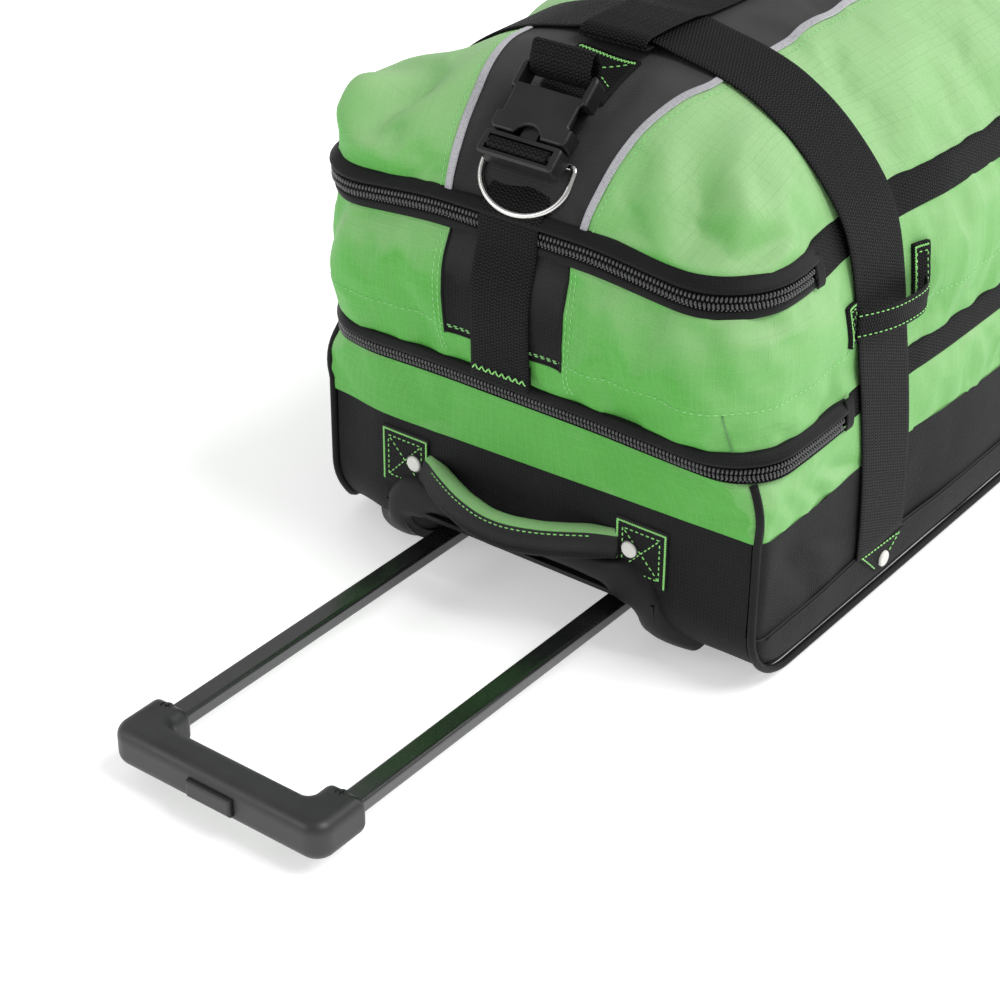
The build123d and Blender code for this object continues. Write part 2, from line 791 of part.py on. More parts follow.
save(make_lock_pin(-1), "lock_pin_left")
save(make_lock_pin(1), "lock_pin_right")


def make_grip_solid():
    """Whole U-shaped grip: front bar and two collars, rounded all over."""
    with BuildPart() as grip:
        with BuildSketch(Plane.XY.offset(GRIP_LOW)):
            with Locations((0, (GRIP_FRONT + GRIP_INNER) / 2)):
                Rectangle(2 * GRIP_HALF, GRIP_INNER - GRIP_FRONT)
            for side in (-1, 1):
                with Locations((side * (COLLAR_INNER + GRIP_HALF) / 2, (GRIP_FRONT + COLLAR_END) / 2)):
                    Rectangle(GRIP_HALF - COLLAR_INNER, COLLAR_END - GRIP_FRONT)
        extrude(amount=GRIP_HIGH - GRIP_LOW)
        upright = grip.edges().filter_by(Axis.Z)
        outer = upright.filter_by(lambda edge: edge.center().Y < GRIP_FRONT + 1)
        fillet(outer, 11)
        rest = grip.edges().filter_by(Axis.Z).filter_by(lambda edge: edge.center().Y > GRIP_FRONT + 14)
        fillet(rest, 4)
        fillet(grip.edges().group_by(Axis.Z)[-1], 7)
        fillet(grip.edges().group_by(Axis.Z)[0], 7)
    return grip.part


def make_grip_shells():
    """The grip hollowed for the tubes and the button, and split at mid height."""
    solid = make_grip_solid()
    tubes = []
    screws = []
    for side in (-1, 1):
        x = side * TUBE_X
        tubes.append(block(x - TUBE_W / 2, x + TUBE_W / 2, SHAFT_FRONT, COLLAR_END + 5,
                           TUBE_Z - TUBE_H / 2, TUBE_Z + TUBE_H / 2))
        with BuildPart() as screw:
            with Locations((x, SCREW_Y, 26)):
                Cylinder(SCREW_R, 22)
            with Locations((x, SCREW_Y, GRIP_HIGH)):
                Cylinder(3.4, 5.0)
        screws.append(screw.part)
    chamber = block(-BUTTON_HALF - 2, BUTTON_HALF + 2, GRIP_FRONT + 4, GRIP_INNER - 4, TUBE_Z - 7, TUBE_Z + 7)
    window = block(-BUTTON_HALF - GAP, BUTTON_HALF + GAP, GRIP_FRONT - 2, GRIP_FRONT + 6,
                   TUBE_Z - 5 - GAP, TUBE_Z + 5 + GAP)
    hollow = without(solid, chamber, window, *tubes, *screws)
    upper = common(hollow, block(-100, 100, GRIP_FRONT - 5, COLLAR_END + 5, TUBE_Z, 60))
    lower = common(hollow, block(-100, 100, GRIP_FRONT - 5, COLLAR_END + 5, 0, TUBE_Z))
    return upper, lower


grip_upper, grip_lower = make_grip_shells()
save(grip_upper, "grip_top_shell")
save(grip_lower, "grip_bottom_shell")


def make_grip_screw():
    """Cross-head screw that holds a collar to its tube."""
    with BuildPart() as screw:
        with Locations((TUBE_X, SCREW_Y, 24.5)):
            Cylinder(SCREW_R, 17)
        with Locations((TUBE_X, SCREW_Y, 33.4)):
            Cylinder(3.2, 1.6)
        with Locations((TUBE_X, SCREW_Y, 34.1)):
            Box(3.6, 0.8, 0.8, mode=Mode.SUBTRACT)
            Box(0.8, 3.6, 0.8, mode=Mode.SUBTRACT)
    return screw.part


save(both_sides(make_grip_screw()), "grip_screws")


def make_button():
    """Push button with a flange that keeps it in the grip."""
    with BuildPart() as button:
        with Locations((0, GRIP_FRONT + 1.5, TUBE_Z)):
            Box(2 * BUTTON_HALF, 9, 10)
        fillet(button.edges().group_by(Axis.Y)[0], 1.5)
        with Locations((0, GRIP_FRONT + 7.8, TUBE_Z)):
            Box(2 * BUTTON_HALF + 3, 3.6, 13)
    return button.part


save(make_button(), "release_button")


# ---- wheels ------------------------------------------------------------------------------------
def make_wheel_housings():
    """Moulded corner boxes, open to the tail and the floor round each wheel."""
    corner = block(WHEEL_BOX_X, inner_half, WHEEL_BOX_Y, TAIL, GROUND_GAP, WHEEL_BOX_TOP)
    side = common(corner, outline_prism(0, HALF_W))
    well_x = (WHEEL_X - WHEEL_W / 2 - 2, WHEEL_X + WHEEL_W / 2 + 2)
    wall = rod_along_x(well_x[0], well_x[1], WHEEL_Y, WHEEL_R, WHEEL_R + 3)
    mouth = block(well_x[0], well_x[1], WHEEL_Y, TAIL + 30, 0, WHEEL_R + WHEEL_R - 4)
    below = block(well_x[0], well_x[1], WHEEL_Y - 41, TAIL + 30, 0, WHEEL_R)
    axle = rod_along_x(WHEEL_BOX_X - 1, inner_half + 1, WHEEL_Y, WHEEL_R, AXLE_R)
    return both_sides(without(side, wall, mouth, below, axle))


save(make_wheel_housings(), "wheel_housings")
axle_rod = rod_along_x(WHEEL_BOX_X + 1, inner_half - 1, WHEEL_Y, WHEEL_R, AXLE_R)
save(both_sides(axle_rod), "axles")


def make_hub(side):
    """Spoked plastic hub with its bearing bore."""
    low = side * WHEEL_X - WHEEL_W / 2 + 1
    with BuildPart() as hub:
        with BuildSketch(Plane(origin=(low, WHEEL_Y, WHEEL_R), z_dir=(1, 0, 0))):
            Circle(WHEEL_R - 10)
            Circle(AXLE_R + AXLE_PLAY, mode=Mode.SUBTRACT)
        extrude(amount=WHEEL_W - 2)
        for face in (low, low + WHEEL_W - 2 - 7):
            with BuildSketch(Plane(origin=(face, WHEEL_Y, WHEEL_R), z_dir=(1, 0, 0))):
                with PolarLocations(16, 6):
                    Circle(5)
            extrude(amount=7, mode=Mode.SUBTRACT)
    return hub.part


def make_tyre(side):
    """Rubber tyre with rounded shoulders."""
    low = side * WHEEL_X - WHEEL_W / 2
    with BuildPart() as tyre:
        with BuildSketch(Plane(origin=(low, WHEEL_Y, WHEEL_R), z_dir=(1, 0, 0))):
            Circle(WHEEL_R)
            Circle(WHEEL_R - 10, mode=Mode.SUBTRACT)
        extrude(amount=WHEEL_W)
        rims = tyre.edges().filter_by(GeomType.CIRCLE).filter_by(lambda edge: edge.radius > WHEEL_R - 1)
        fillet(rims, 4)
    return tyre.part


for side_name, side_sign in (("left", -1), ("right", 1)):
    save(make_hub(side_sign), f"wheel_hub_{side_name}")
    save(make_tyre(side_sign), f"tyre_{side_name}")


def make_skids():
    """Two hard runners under the bottom; their front ends are the feet."""
    runner = block(94, 118, END + 60, WHEEL_BOX_Y - 10, 3, GROUND_GAP)
    foot = block(94, 118, END + 48, END + 78, 0, GROUND_GAP)
    with BuildPart() as skid:
        add(runner)
        add(foot)
        fillet(skid.edges().filter_by(Axis.Z), 3)
    return both_sides(skid.part)


save(make_skids(), "skid_runners")


# ---- zip sliders --------------------------------------------------------------------------------


def make_slider(x, y, z):
    """Zip slider body with an eye for its pull."""
    with BuildPart() as slider:
        with Locations((x - 1.6, y, z)):
            Box(3.2, 11, 8)
        fillet(slider.edges().filter_by(Axis.X), 2.0)
        with Locations((x - SLIDER_EYE / 2 - 2.6, y, z)):
            Box(SLIDER_EYE, 4, 4.8)
        with Locations((x - SLIDER_EYE, y, z)):
            Cylinder(PULL_BAR_R + 0.1, 10, rotation=(90, 0, 0), mode=Mode.SUBTRACT)
    return slider.part


def make_pull(x, y, z):
    """Pull tab hanging by a bar in the slider's eye."""
    with BuildPart() as pull:
        with BuildSketch(Plane.YZ.offset(x - 1)):
            with Locations((y, z - 13)):
                RectangleRounded(10, 28, 3)
            with Locations((y, z - 1)):
                Rectangle(5.6, 6, mode=Mode.SUBTRACT)
        extrude(amount=2)
        with Locations((x, y, z)):
            Cylinder(PULL_BAR_R, 8, rotation=(90, 0, 0))
    return pull.part


for slider_name, (slider_x, slider_y, slider_z) in SLIDERS.items():
    save(make_slider(slider_x, slider_y, slider_z), f"{slider_name}_zip_slider")
    save(make_pull(slider_x - SLIDER_EYE, slider_y, slider_z), f"{slider_name}_zip_pull")

with BuildPart() as rivet_group:
    for rivet_plane in RIVET_PLANES:
        add(rivet_shape(rivet_plane))
save(rivet_group.part, "rivets")
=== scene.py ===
"""Looks of the wheeled two-level bowling ball bag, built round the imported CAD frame.

Lengths in this script are bag millimetres: X across, Y from the handle-end panel towards the tail,
Z up from the floor. to_row() turns them into the row frame's metres.
"""
import bpy
import bmesh
import math
import numpy as np
from mathutils import Matrix, Vector, noise
from mathutils.bvhtree import BVHTree


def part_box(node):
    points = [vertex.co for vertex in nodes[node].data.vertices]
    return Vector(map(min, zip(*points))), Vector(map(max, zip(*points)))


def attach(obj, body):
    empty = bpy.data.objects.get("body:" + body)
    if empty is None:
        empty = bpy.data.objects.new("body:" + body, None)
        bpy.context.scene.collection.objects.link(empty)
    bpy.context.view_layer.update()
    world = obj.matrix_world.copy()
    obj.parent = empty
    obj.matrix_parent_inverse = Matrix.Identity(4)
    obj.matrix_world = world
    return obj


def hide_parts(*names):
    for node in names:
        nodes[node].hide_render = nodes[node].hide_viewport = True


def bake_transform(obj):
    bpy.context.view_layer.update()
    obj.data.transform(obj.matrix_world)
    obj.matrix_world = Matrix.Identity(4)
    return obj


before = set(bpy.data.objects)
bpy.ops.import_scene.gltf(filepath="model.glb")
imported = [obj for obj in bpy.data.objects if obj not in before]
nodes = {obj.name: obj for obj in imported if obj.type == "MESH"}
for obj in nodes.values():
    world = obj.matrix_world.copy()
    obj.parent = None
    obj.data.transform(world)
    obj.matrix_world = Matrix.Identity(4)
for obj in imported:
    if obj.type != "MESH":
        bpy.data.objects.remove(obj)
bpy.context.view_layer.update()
scene = bpy.context.scene

MM = 0.001
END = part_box("green_end_panels")[0].y
LENGTH = (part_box("green_end_panels")[1].y - END) / MM
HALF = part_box("lower_side_panels")[1].x / MM
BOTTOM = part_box("bottom_panel")[0].z / MM
BLACK_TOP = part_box("green_side_panels")[0].z / MM
ZIP_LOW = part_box("lower_zip_band")[0].z / MM
ZIP_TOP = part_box("lower_zip_band")[1].z / MM
DECK_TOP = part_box("deck_side_panels")[1].z / MM
LID_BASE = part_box("lid_sides")[0].z / MM
CORNER_R = 38.0


# ---- placing and meshing ------------------------------------------------------------------
def to_row(points):
    """Bag millimetres to the row frame's metres."""
    return np.asarray(points, float).reshape(-1, 3) * MM + (0.0, END, 0.0)


def to_tail(points):
    """Bag points mirrored from the handle end to the tail."""
    return np.asarray(points, float) * (1, -1, 1) + (0, LENGTH, 0)


def from_row(points):
    """The row frame's metres to bag millimetres."""
    return (np.asarray(points, float).reshape(-1, 3) - (0.0, END, 0.0)) / MM


def piece(name, points, faces, material, uv=None):
    """Mesh object from bag millimetres; uv holds one metric pair per face corner."""
    mesh = bpy.data.meshes.new(name)
    mesh.from_pydata([tuple(p) for p in to_row(points)], [], [tuple(f) for f in faces])
    mesh.materials.append(material)
    mesh.polygons.foreach_set("use_smooth", [True] * len(mesh.polygons))
    if uv is not None:
        layer = mesh.uv_layers.new(name="cloth")
        layer.data.foreach_set("uv", np.asarray(uv, np.float32).ravel())
    obj = bpy.data.objects.new(name, mesh)
    scene.collection.objects.link(obj)
    return obj


def running(path):
    """Length along a path up to each of its points."""
    return np.concatenate([[0], np.cumsum(np.linalg.norm(np.diff(path, axis=0), axis=1))])


def steps(grid, axis):
    """Running length along one axis of a grid of points, in metres."""
    gaps = np.linalg.norm(np.diff(grid, axis=axis), axis=2)
    lengths = np.cumsum(gaps, axis=axis)
    return np.insert(lengths, 0, 0.0, axis=axis) * MM


def sheet_grid(name, grid, material, closed=False, uv=None):
    """Quads over a grid (rows, columns, 3); closed joins the last column to the first."""
    rows, columns = grid.shape[:2]
    wide = np.concatenate([grid, grid[:, :1]], axis=1) if closed else grid
    if uv is None:
        across = steps(wide, 1).mean(axis=0)
        up = steps(wide, 0).mean(axis=1)
        uv = np.stack(np.meshgrid(across, up), axis=2)
    faces, corners = [], []
    for r in range(rows - 1):
        for c in range(wide.shape[1] - 1):
            n = (c + 1) % columns
            faces.append((r * columns + c, r * columns + n, (r + 1) * columns + n,
                          (r + 1) * columns + c))
            corners += [uv[r, c], uv[r, c + 1], uv[r + 1, c + 1], uv[r + 1, c]]
    return piece(name, grid.reshape(-1, 3), faces, material, corners)


def curve(knots, values, at):
    """Smooth curve through the values at the knots."""
    knots, values = np.asarray(knots, float), np.asarray(values, float)
    at = np.clip(at, knots[0], knots[-1])
    slope = np.gradient(values, knots)
    i = np.clip(np.searchsorted(knots, at) - 1, 0, len(knots) - 2)
    h = knots[i + 1] - knots[i]
    t = (at - knots[i]) / h
    first = (2 * t**3 - 3 * t**2 + 1) * values[i] + (t**3 - 2 * t**2 + t) * h * slope[i]
    return first + (3 * t**2 - 2 * t**3) * values[i + 1] + (t**3 - t**2) * h * slope[i + 1]


def ramp(x, low, high):
    """0 below low, 1 above high, smooth between."""
    t = np.clip((np.asarray(x, float) - low) / (high - low), 0, 1)
    return t * t * (3 - 2 * t)


def frames_along(path, up=None, closed=False):
    """Tangent, side and normal at each point of a path."""
    path = np.asarray(path, float)
    if closed:
        tangent = np.roll(path, -1, 0) - np.roll(path, 1, 0)
    else:
        tangent = np.gradient(path, axis=0)
    tangent /= np.linalg.norm(tangent, axis=1)[:, None]
    if up is None:
        normal = np.zeros_like(path)
        guess = np.array((0, 0, 1.0)) if abs(tangent[0][2]) < 0.9 else np.array((1.0, 0, 0))
        for i, t in enumerate(tangent):
            guess = guess - t * (guess @ t)
            guess /= np.linalg.norm(guess)
            normal[i] = guess
    else:
        normal = np.broadcast_to(np.asarray(up, float), path.shape).copy()
        normal -= tangent * np.sum(normal * tangent, axis=1)[:, None]
        normal /= np.linalg.norm(normal, axis=1)[:, None]
    return tangent, np.cross(tangent, normal), normal


def swept(name, path, section, material, up=None, closed=False, caps=True):
    """Section (side, normal) pairs swept along a path; section may be one list per point."""
    path = np.asarray(path, float)
    _, side, normal = frames_along(path, up, closed)
    section = np.asarray(section, float)
    if section.ndim == 2:
        section = np.broadcast_to(section, (len(path),) + section.shape)
    grid = (path[:, None] + section[..., :1] * side[:, None] + section[..., 1:] * normal[:, None])
    count = grid.shape[1]
    looped = np.concatenate([grid, grid[:, :1]], axis=1)
    around = steps(looped, 1).mean(axis=0)
    rows = list(range(len(path))) + ([0] if closed else [])
    along = running(path[rows]) * MM
    faces, corners = [], []
    for k in range(len(rows) - 1):
        r, q = rows[k], rows[k + 1]
        for c in range(count):
            n = (c + 1) % count
            faces.append((r * count + c, r * count + n, q * count + n, q * count + c))
            corners += [(around[c], along[k]), (around[c + 1], along[k]),
                        (around[c + 1], along[k + 1]), (around[c], along[k + 1])]
    if caps and not closed:
        faces.append(tuple(range(count))[::-1])
        faces.append(tuple((len(path) - 1) * count + i for i in range(count)))
        corners += [tuple(p * MM) for p in section[0][::-1]] + [tuple(p * MM) for p in section[-1]]
    return piece(name, grid.reshape(-1, 3), faces, material, corners)


def circle(radius, count=10, squash=1.0):
    """Round or oval section."""
    angles = np.arange(count) * 2 * math.pi / count
    return np.stack([radius * np.cos(angles), radius * squash * np.sin(angles)], axis=1)


def flat_section(width, thickness, lift=0.0, count=14):
    """Webbing section: a thin strip with rounded edges, its inner face at the path plus lift."""
    half, r = width / 2, thickness / 2
    xs = np.linspace(-half + r, half - r, count)
    top = [(x, thickness + lift) for x in xs[::-1]]
    bottom = [(x, lift) for x in xs]
    right = [(half - r * 0.25, thickness * 0.8 + lift), (half, r + lift),
             (half - r * 0.25, thickness * 0.2 + lift)]
    left = [(-x, z) for x, z in right[::-1]]
    return np.array(bottom + right[::-1] + top + left[::-1])


def spaced(path, gap):
    """Points at an even gap along a path."""
    path = np.asarray(path, float)
    lengths = running(path)
    at = np.arange(0, lengths[-1] + gap * 0.5, gap)
    return np.stack([np.interp(at, lengths, path[:, k]) for k in range(3)], axis=1)


def rounded(points, radius=6.0, count=5):
    """Polyline with its corners rounded."""
    points = [np.asarray(p, float) for p in points]
    out = [points[0]]
    for before, here, after in zip(points, points[1:], points[2:]):
        a, b = before - here, after - here
        cut = min(radius, np.linalg.norm(a) * 0.45, np.linalg.norm(b) * 0.45)
        a, b = here + a / np.linalg.norm(a) * cut, here + b / np.linalg.norm(b) * cut
        for t in np.linspace(0, 1, count):
            out.append((1 - t)**2 * a + 2 * t * (1 - t) * here + t * t * b)
    out.append(points[-1])
    return np.array(out)


def stitches(name, paths, material, length=2.6, gap=1.3, radius=0.42, sink=0.1):
    """Thread: a short rounded dash for each stitch; each path is a list of points with normals."""
    points, faces = [], []
    for path, normals in paths:
        path, normals = np.asarray(path, float), np.asarray(normals, float)
        lengths = running(path)
        start = 0.0
        while start + length <= lengths[-1]:
            at = start + np.array([0.0, 0.22, 0.78, 1.0]) * length
            spine = np.stack([np.interp(at, lengths, path[:, k]) for k in range(3)], axis=1)
            out = np.stack([np.interp(at, lengths, normals[:, k]) for k in range(3)], axis=1)
            out /= np.linalg.norm(out, axis=1)[:, None]
            along = spine[-1] - spine[0]
            along /= max(np.linalg.norm(along), 1e-6)
            side = np.cross(out, along)
            base = len(points)
            for s, (p, n, w) in enumerate(zip(spine, out, side)):
                size = radius * (0.45 if s in (0, 3) else 1.0)
                dip = radius * (-0.5 if s in (0, 3) else 0.55) - sink
                for k in range(6):
                    angle = k * math.pi / 3
                    points.append(p + n * (dip + size * math.sin(angle)) + w * size * math.cos(angle))
            for s in range(3):
                for k in range(6):
                    m = (k + 1) % 6
                    a = base + s * 6
                    faces.append((a + k, a + m, a + 6 + m, a + 6 + k))
            faces.append(tuple(base + k for k in range(6))[::-1])
            faces.append(tuple(base + 18 + k for k in range(6)))
            start += length + gap
    return piece(name, points, faces, material)


def merged(name, objects):
    """Joins objects into the first one."""
    bm = bmesh.new()
    materials = []
    for o in objects:
        index = len(materials)
        materials.append(o.data.materials[0])
        before = len(bm.faces)
        bm.from_mesh(o.data)
        bm.faces.ensure_lookup_table()
        for f in bm.faces[before:]:
            f.material_index = index
    mesh = bpy.data.meshes.new(name)
    bm.to_mesh(mesh)
    bm.free()
    for material in materials:
        mesh.materials.append(material)
    for o in objects:
        bpy.data.objects.remove(o)
    obj = bpy.data.objects.new(name, mesh)
    scene.collection.objects.link(obj)
    return obj


def applied(obj):
    """Makes the object's modifiers part of its mesh."""
    evaluated = obj.evaluated_get(bpy.context.evaluated_depsgraph_get())
    mesh = bpy.data.meshes.new_from_object(evaluated)
    obj.modifiers.clear()
    obj.data = mesh
    return obj


def smoothed(obj, levels=1):
    """Subdivision applied to the mesh."""
    modifier = obj.modifiers.new("smooth", "SUBSURF")
    modifier.levels = modifier.render_levels = levels
    return applied(obj)


def thicken(obj, depth, offset=-1.0):
    """Gives an open sheet its thickness in the mesh itself."""
    modifier = obj.modifiers.new("thick", "SOLIDIFY")
    modifier.thickness = depth * MM
    modifier.offset = offset
    return applied(obj)


# ---- materials -----------------------------------------------------------------------------
class Shader:
    """Small helper for building a node material."""

    def __init__(self, name, colour, roughness, **settings):
        self.material = bpy.data.materials.new(name)
        self.material.use_nodes = True
        self.tree = self.material.node_tree
        self.bsdf = self.tree.nodes["Principled BSDF"]
        self.bsdf.inputs["Base Color"].default_value = (*colour, 1)
        self.bsdf.inputs["Roughness"].default_value = roughness
        for key, value in settings.items():
            self.bsdf.inputs[key.replace("_", " ")].default_value = value
        self.material.diffuse_color = (*colour, 1)

    def node(self, kind, settings=(), **inputs):
        made = self.tree.nodes.new(kind)
        for key, value in dict(settings).items():
            setattr(made, key, value)
        for key, value in inputs.items():
            self.feed(made.inputs[key.replace("_", " ")], value)
        return made

    def feed(self, socket, value):
        if isinstance(value, bpy.types.NodeSocket):
            self.tree.links.new(value, socket)
        else:
            socket.default_value = value

    def math(self, operation, a, b=0.0, c=0.0):
        made = self.tree.nodes.new("ShaderNodeMath")
        made.operation = operation
        for socket, value in zip(made.inputs, (a, b, c)):
            self.feed(socket, value)
        return made.outputs[0]

    def uv(self):
        made = self.node("ShaderNodeUVMap", {"uv_map": "cloth"})
        split = self.node("ShaderNodeSeparateXYZ", Vector=made.outputs[0])
        return made.outputs[0], split.outputs[0], split.outputs[1]

    def place(self):
        return self.node("ShaderNodeTexCoord").outputs["Object"]

    def noise(self, vector, scale, detail=2.0, stretch=None):
        if stretch:
            vector = self.node("ShaderNodeMapping", Vector=vector, Scale=stretch).outputs[0]
        made = self.node("ShaderNodeTexNoise", Vector=vector, Scale=scale, Detail=detail)
        return made.outputs["Fac"]

    def wave(self, coordinate, pitch):
        """0..1 wave along a coordinate in metres, pitch in millimetres."""
        turned = self.math("SINE", self.math("MULTIPLY", coordinate, 2 * math.pi / (pitch * MM)))
        return self.math("MULTIPLY_ADD", turned, 0.5, 0.5)

    def span(self, value, low, high, to_low, to_high):
        made = self.tree.nodes.new("ShaderNodeMapRange")
        for socket, number in zip(made.inputs, (value, low, high, to_low, to_high)):
            self.feed(socket, number)
        return made.outputs[0]

    def blend(self, factor, a, b):
        made = self.tree.nodes.new("ShaderNodeMix")
        made.data_type = "RGBA"
        self.feed(made.inputs[0], factor)
        self.feed(made.inputs[6], (*a, 1) if isinstance(a, tuple) else a)
        self.feed(made.inputs[7], (*b, 1) if isinstance(b, tuple) else b)
        return made.outputs[2]

    def painted_sheen(self, top, side):
        """Share of the painted sheen: colour painted paler where the cloth faces up or to +X, where the
        light falls on it.
        """
        facing = self.node("ShaderNodeSeparateXYZ",
                           Vector=self.node("ShaderNodeNewGeometry").outputs["Normal"])
        return self.math("ADD", self.span(facing.outputs[2], 0.0, 1.1, 0.0, top),
                         self.span(facing.outputs[0], 0.1, 1.0, 0.0, side))

    def colour(self, value):
        self.feed(self.bsdf.inputs["Base Color"], value)

    def rough(self, value):
        self.feed(self.bsdf.inputs["Roughness"], value)

    def bump(self, height, depth_mm, strength=1.0):
        made = self.node("ShaderNodeBump", Height=height, Distance=depth_mm * MM, Strength=strength)
        previous = self.bsdf.inputs["Normal"].links
        if previous:
            self.feed(made.inputs["Normal"], previous[0].from_socket)
        self.feed(self.bsdf.inputs["Normal"], made.outputs[0])


def ripstop(name, colour, lit, sheen_paint_colour, grid=5.2):
    """Plain-weave nylon with a raised thread every few millimetres."""
    s = Shader(name, colour, 0.52, Sheen_Weight=0.05, Sheen_Roughness=0.5, Specular_IOR_Level=0.24)
    vector, u, v = s.uv()
    weave = s.math("MULTIPLY", s.wave(u, 0.9), s.wave(v, 0.9))
    lines = []
    for coordinate in (u, v):
        cell = s.math("FRACT", s.math("DIVIDE", coordinate, grid * MM))
        phase = s.math("ABSOLUTE", s.math("SUBTRACT", cell, 0.5))
        lines.append(s.span(phase, 0.42, 0.5, 0.0, 1.0))
    line = s.math("MAXIMUM", *lines)
    mottle = s.noise(vector, 900.0, 2.0)
    broad = s.noise(s.place(), 14.0, 3.0)
    slub = s.noise(vector, 60.0, 3.0, (14.0, 1.0, 1.0))
    base = s.blend(s.span(broad, 0.35, 0.65, 0.0, 1.0), colour, lit)
    base = s.blend(
        s.span(s.math("MULTIPLY_ADD", mottle, 0.6, s.math("MULTIPLY", slub, 0.4)), 0.4, 0.62, 0.0, 0.35),
        base, tuple(c * 0.66 for c in colour))
    base = s.blend(s.math("MULTIPLY", line, 0.20), base, tuple(min(1, c * 1.25 + 0.08) for c in lit))
    # Painted sheen: the green is painted paler where the cloth faces up or to +X, standing in for light
    # falling on the nylon.
    base = s.blend(s.painted_sheen(0.92, 0.36), base, sheen_paint_colour)
    s.colour(base)
    s.bump(s.math("ADD", s.math("MULTIPLY", weave, 0.5), line), 0.13)
    s.bump(s.noise(vector, 240.0, 2.0), 0.10)
    s.bump(s.noise(vector, 75.0, 3.0, (1.0, 1.6, 1.0)), 0.55)
    return s.material


def woven(name, colour, pitch=1.1, roughness=0.66, sheen=0.02, depth=0.14, painted_sheen=0.0):
    """Coarse plain-weave polyester."""
    s = Shader(name, colour, roughness, Sheen_Weight=sheen, Sheen_Roughness=0.5,
               Specular_IOR_Level=0.11)
    vector, u, v = s.uv()
    checks = s.math("ADD", s.math("MULTIPLY", s.wave(u, pitch), s.wave(v, pitch * 2)),
                    s.math("MULTIPLY", s.wave(u, pitch * 2), s.wave(v, pitch)))
    mottle = s.noise(vector, 700.0, 3.0)
    broad = s.noise(s.place(), 20.0, 2.0)
    # Painted highlight and shade: the weave's raised crossings are painted lighter than its gaps,
    # following the bump height; the same lighter colour is also mixed in at random further down.
    light = tuple(c * 2.0 + 0.004 for c in colour)
    base = s.blend(s.span(checks, 0.2, 1.4, 0.0, 0.55), colour, light)
    base = s.blend(s.span(mottle, 0.45, 0.7, 0.0, 0.5), base, tuple(c * 0.5 for c in colour))
    base = s.blend(s.span(broad, 0.4, 0.7, 0.0, 0.35), base, light)
    # Painted sheen: the black is painted lighter where the cloth faces up, standing in for light falling
    # on it.
    if painted_sheen:
        base = s.blend(s.painted_sheen(painted_sheen, 0.0), base, tuple(c + 0.055 for c in colour))
    s.colour(base)
    s.bump(checks, depth)
    s.bump(s.noise(vector, 160.0, 2.0), 0.12)
    s.bump(s.noise(vector, 70.0, 3.0), 0.35)
    return s.material


def webbing_material(name, colour, rib=1.9):
    """Heavy strap weave: ribs across the strap, broken by the warp."""
    s = Shader(name, colour, 0.6, Sheen_Weight=0.0, Sheen_Roughness=0.4, Specular_IOR_Level=0.12)
    vector, u, v = s.uv()
    stagger = s.math("MULTIPLY", s.wave(u, 2 * rib), rib * MM * 0.5)
    ribs = s.wave(s.math("ADD", v, stagger), rib)
    warp = s.wave(u, rib)
    height = s.math("MULTIPLY", ribs, s.math("MULTIPLY_ADD", warp, 0.6, 0.4))
    fuzz = s.noise(vector, 1100.0, 2.0)
    # Painted shade and highlight: the grooves between the ribs are painted darker and the rib tops
    # lighter, following the bump height.
    light = tuple(c * 4.2 + 0.004 for c in colour)
    base = s.blend(s.span(height, 0.25, 0.95, 0.0, 0.8), tuple(c * 0.25 for c in colour), light)
    base = s.blend(s.span(fuzz, 0.45, 0.75, 0.0, 0.5), base, colour)
    s.colour(base)
    s.bump(height, 0.45)
    s.bump(fuzz, 0.05)
    return s.material


def moulded(name, colour, roughness, grain=1500.0, depth=0.03, coat=0.0, gloss=0.5):
    """Moulded plastic with a fine grain and uneven polish."""
    s = Shader(name, colour, roughness, Specular_IOR_Level=gloss, Coat_Weight=coat, Coat_Roughness=0.25)
    place = s.place()
    fine = s.noise(place, grain, 2.0)
    broad = s.noise(place, 45.0, 4.0)
    s.colour(s.blend(s.span(broad, 0.35, 0.7, 0.0, 0.6), colour,
                     tuple(c * 1.5 + 0.004 for c in colour)))
    s.rough(s.span(s.math("MULTIPLY_ADD", broad, 0.6, s.math("MULTIPLY", fine, 0.4)), 0.3, 0.7,
                   roughness - 0.08, roughness + 0.1))
    s.bump(fine, depth)
    return s.material


def metal(name, colour, roughness, scratch=0.015):
    """Bare metal with fine rubbing marks."""
    s = Shader(name, colour, roughness, Metallic=1.0)
    place = s.place()
    marks = s.noise(place, 300.0, 4.0, (1.0, 8.0, 3.0))
    s.rough(s.span(marks, 0.3, 0.7, roughness * 0.7, roughness * 1.5))
    s.colour(s.blend(s.span(s.noise(place, 90.0, 3.0), 0.35, 0.7, 0.0, 0.5), colour,
                     tuple(c * 0.75 for c in colour)))
    s.bump(marks, scratch)
    return s.material


def thread_material(name, colour):
    """Twisted sewing thread."""
    s = Shader(name, colour, 0.5, Sheen_Weight=0.3)
    twist = s.noise(s.place(), 1400.0, 1.0)
    s.colour(s.blend(s.span(twist, 0.4, 0.65, 0.0, 0.5), colour, tuple(c * 0.6 for c in colour)))
    s.bump(twist, 0.05)
    return s.material


GREEN = (0.092, 0.400, 0.058)
GREEN_LIT = (0.114, 0.440, 0.076)
# Paler green painted on where the ripstop faces up or to +X: painted sheen.
GREEN_SHEEN_PAINT = (0.33, 0.55, 0.26)
green = ripstop("green_ripstop", GREEN, GREEN_LIT, GREEN_SHEEN_PAINT)
